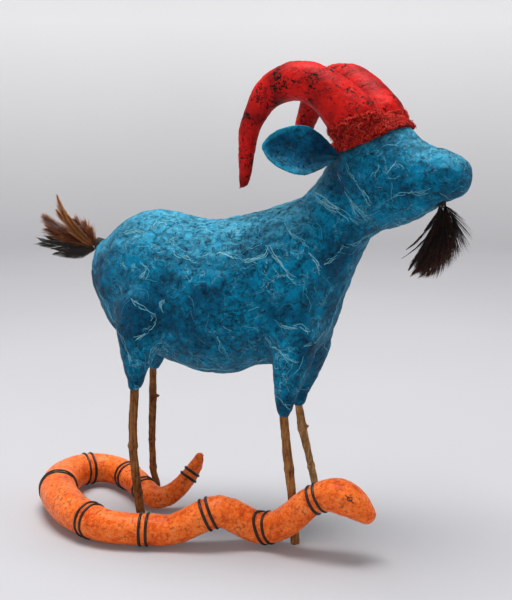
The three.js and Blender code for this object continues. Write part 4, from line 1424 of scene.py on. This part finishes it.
class FIGURE_OT_beard(bpy.types.Operator):
    """Models the beard's tuft of dark hackle tips"""

    bl_idname = "figure.beard"
    bl_label = "Feather beard"

    def execute(self, context):
        rng = np.random.default_rng(47)
        low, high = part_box("beard_binding")
        root = np.array(((low.x + high.x) / 2, (low.y + high.y) / 2, low.z + 2 * MM))
        ahead, left = np.array(HEAD_AHEAD), np.array(HEAD_LEFT)
        finish = feather_finish("dark_hackle_feather", "#040101", "#180805", "#7d3a1c")
        # CAD node: its feathers' middle and tip from the root (ahead, left, up), and width
        groups = {
            "beard_feather_right": (
                ((-12, -3, -22), (-27, -4, -37), 2.5), ((-8, -4, -25), (-24, -3, -51), 6.0),
                ((-6, -3, -28), (-21, -4, -55), 6.5), ((-2, -3, -27), (-17, -3, -51), 8.0),
                ((3, -4, -24), (-12, -4, -50), 8.5), ((6, -3, -22), (-4, -3, -44), 8.0),
            ),
            "beard_feather_middle": (
                ((-10, 0, -24), (-33, 0, -45), 2.0), ((-4, 0, -28), (-21, 0, -54), 7.0),
                ((1, -1, -30), (-16, 0, -57), 6.5), ((5, 0, -27), (-9, 0, -54), 8.0),
                ((10, 0, -17), (-1, 0, -44), 8.5), ((-5, 0, -20), (-20, 1, -42), 9.0),
                ((-6, -2, -12), (-13, -3, -22), 1.5),
            ),
            "beard_feather_left": (
                ((-9, 3, -24), (-22, 4, -49), 6.0), ((-2, 3, -27), (-16, 4, -54), 7.5),
                ((4, 3, -26), (-8, 4, -52), 8.0), ((7, 3, -21), (-2, 3, -43), 7.5),
                ((-7, 2, -13), (-15, 3, -24), 1.5),
            ),
        }
        for node, feathers in groups.items():
            bundles = []
            for middle, tip, width in feathers:
                way = np.array([ahead, left, (0, 0, 1)]) * MM
                base = root + ahead * rng.uniform(-2.6, 2.6) * MM
                bundles += feather(
                    base,
                    root + np.array(middle) @ way,
                    root + np.array(tip) @ way,
                    ahead,
                    0.8 * width * MM,
                    rng,
                    barbs=130, slant=8, bare=0.02, blunt=0.5, fluff=0.15, tone=0.3,
                )
            piece = strands(node.replace("feather", "hackles"), bundles)
            settle(piece, "beard", "black_feather", finish, node)
        return {"FINISHED"}


class FIGURE_OT_inner_parts(bpy.types.Operator):
    """Finishes the frame's own pieces: stuffing, sticks, wires and the thread bindings"""

    bl_idname = "figure.inner_parts"
    bl_label = "Inner parts"

    def execute(self, context):
        finishes = {
            "torso_stuffing": newsprint(),
            "head_stuffing": newsprint(),
            "neck_stick": bark(*BROWN_BARK),
            "horn_wire_right": annealed_wire(),
            "horn_wire_left": annealed_wire(),
            "snake_wire": annealed_wire(),
            "tail_binding": wound_finish("brown_thread", "#1d120c", "#4a3022", THREAD_RIBS, 0.85),
            "beard_binding": wound_finish("brown_thread", "#1d120c", "#4a3022", THREAD_RIBS, 0.85),
        }
        for node, finish in finishes.items():
            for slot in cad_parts[node].material_slots:
                slot.material = finish
        return {"FINISHED"}


# Radius of the floor's flat part, radius of its upturned edge, and height of its wall's top
FLOOR_RADIUS, SWEEP, WALL_HEIGHT = 2.1, 0.7, 1.25


class FIGURE_OT_stage(bpy.types.Operator):
    """Sets the plain pale floor, the soft studio lights and the camera"""

    bl_idname = "figure.stage"
    bl_label = "Stage"

    def execute(self, context):
        self.floor()
        self.lights()
        self.camera()
        return {"FINISHED"}

    @staticmethod
    def floor():
        """A round floor whose edge sweeps up into a low wall, the same from every side."""
        bpy.ops.object.select_all(action="DESELECT")
        bpy.ops.mesh.primitive_circle_add(
            vertices=96, radius=FLOOR_RADIUS, fill_type="NGON", location=(0, 0, 0)
        )
        sweep = bpy.context.object
        sweep.name = sweep.data.name = "floor"
        edit_all(sweep, (bpy.ops.mesh.inset, {"thickness": 0.9}))
        bpy.ops.object.mode_set(mode="EDIT")
        bpy.ops.mesh.select_mode(type="EDGE")
        bpy.ops.mesh.select_all(action="DESELECT")
        bpy.ops.object.mode_set(mode="OBJECT")
        rim = [v.co.length > 0.99 * FLOOR_RADIUS for v in sweep.data.vertices]
        for edge in sweep.data.edges:
            edge.select = all(rim[v] for v in edge.vertices)
        bpy.ops.object.mode_set(mode="EDIT")
        turns = [math.radians(9 * k) for k in range(11)]
        profile = [(FLOOR_RADIUS + SWEEP * math.sin(a), SWEEP * (1 - math.cos(a))) for a in turns]
        profile.append((FLOOR_RADIUS + SWEEP, WALL_HEIGHT))
        for (reach, z), (next_reach, next_z) in zip(profile, profile[1:]):
            bpy.ops.mesh.extrude_edges_move(TRANSFORM_OT_translate={"value": (0, 0, next_z - z)})
            grow = next_reach / reach
            bpy.ops.transform.resize(value=(grow, grow, 1), center_override=(0, 0, 0))
        bpy.ops.mesh.select_mode(type="VERT")
        bpy.ops.object.mode_set(mode="OBJECT")
        smooth_faces(sweep)

        def paper_roll(tree):
            place = add(tree, "TexCoord").outputs["Object"]
            drift = add(tree, "TexNoise", {"Vector": place, "Scale": 1.5, "Detail": 2.0})
            tone = add(
                tree,
                "ValToRGB",
                {"Fac": drift.outputs["Fac"]},
                stops=((0.3, rgba("#b3b2b5")), (0.7, rgba("#b8b7ba"))),
            )
            part = add(tree, "SeparateXYZ", {0: place})
            # painted light: the backdrop glows, more strongly up its wall, standing in for lamps that would
            # wash the wall
            glow = add(
                tree,
                "MapRange",
                {"Value": part.outputs["Z"], "From Max": 0.6, "To Min": 0.03, "To Max": 0.42},
            )
            return {
                "Base Color": tone.outputs["Color"],
                "Roughness": 0.7,
                "IOR": 1.45,
                "Emission Color": (1.0, 1.0, 0.985, 1.0),
                "Emission Strength": glow.outputs[0],
            }

        sweep.data.materials.append(material("backdrop_paper", paper_roll))

    @staticmethod
    def lights():
        """A large softbox overhead and slightly behind, a broad fill from the front left, and an even sky."""
        world = bpy.data.worlds.new("studio")
        world.use_nodes = True
        world.node_tree.nodes["Background"].inputs["Color"].default_value = (0.93, 0.95, 1.0, 1)
        world.node_tree.nodes["Background"].inputs["Strength"].default_value = 0.22
        bpy.context.scene.world = world
        middle = Vector((0, 0, 0.18))
        for name, place, size, energy in (
            ("overhead_softbox", (-0.10, 0.15, 2.40), 1.6, 80.0),
            ("front_fill", (-0.9, -1.5, 1.0), 1.2, 2.5),
        ):
            lamp = bpy.data.lights.new(name, "AREA")
            lamp.shape, lamp.size, lamp.energy = "SQUARE", size, energy
            light = bpy.data.objects.new(name, lamp)
            light.location = place
            light.rotation_euler = (middle - Vector(place)).to_track_quat("-Z", "Y").to_euler()
            bpy.context.collection.objects.link(light)
        bpy.context.scene.view_settings.view_transform = "Standard"

    @staticmethod
    def camera():
        """Looks from the goat's right and a little ahead of it, slightly from above."""
        target = Vector((0.0119, 0.002, 0.192))
        bearing = math.radians(12)
        rise = 0.16  # over the target, at a metre from it
        place = target + Vector((math.sin(bearing), -math.cos(bearing), rise))
        lens = bpy.data.cameras.new("camera")
        lens.lens, lens.sensor_width = 73.2, 36
        camera = bpy.data.objects.new("camera", lens)
        camera.location = place
        camera.rotation_euler = (target - place).to_track_quat("-Z", "Y").to_euler()
        bpy.context.collection.objects.link(camera)
        bpy.context.scene.camera = camera


OPERATORS = (
    FIGURE_OT_paper_skin,
    FIGURE_OT_skin_fibres,
    FIGURE_OT_ears,
    FIGURE_OT_horns,
    FIGURE_OT_ruff,
    FIGURE_OT_twigs,
    FIGURE_OT_snake,
    FIGURE_OT_snake_cords,
    FIGURE_OT_tail,
    FIGURE_OT_beard,
    FIGURE_OT_inner_parts,
    FIGURE_OT_stage,
)


class FIGURE_PT_panel(bpy.types.Panel):
    """Lists the sizes, the colours and a button for each group of pieces"""

    bl_idname = "FIGURE_PT_panel"
    bl_label = "Paper goat"
    bl_space_type = "VIEW_3D"
    bl_region_type = "UI"
    bl_category = "Goat"

    def draw(self, context):
        for group in (context.scene.figure_sizes, context.scene.figure_colours):
            for name in group.__annotations__:
                self.layout.prop(group, name)
        for operator in OPERATORS:
            self.layout.operator(operator.bl_idname)


CLASSES = (FigureSizes, FigureColours, *OPERATORS, FIGURE_PT_panel)


def register():
    for cls in CLASSES:
        bpy.utils.register_class(cls)
    bpy.types.Scene.figure_sizes = bpy.props.PointerProperty(type=FigureSizes)
    bpy.types.Scene.figure_colours = bpy.props.PointerProperty(type=FigureColours)


def unregister():
    del bpy.types.Scene.figure_colours
    del bpy.types.Scene.figure_sizes
    for cls in reversed(CLASSES):
        bpy.utils.unregister_class(cls)


def main():
    register()
    for operator in OPERATORS:
        group, name = operator.bl_idname.split(".")
        getattr(getattr(bpy.ops, group), name)()
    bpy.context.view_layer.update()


if __name__ == "__main__":
    main()
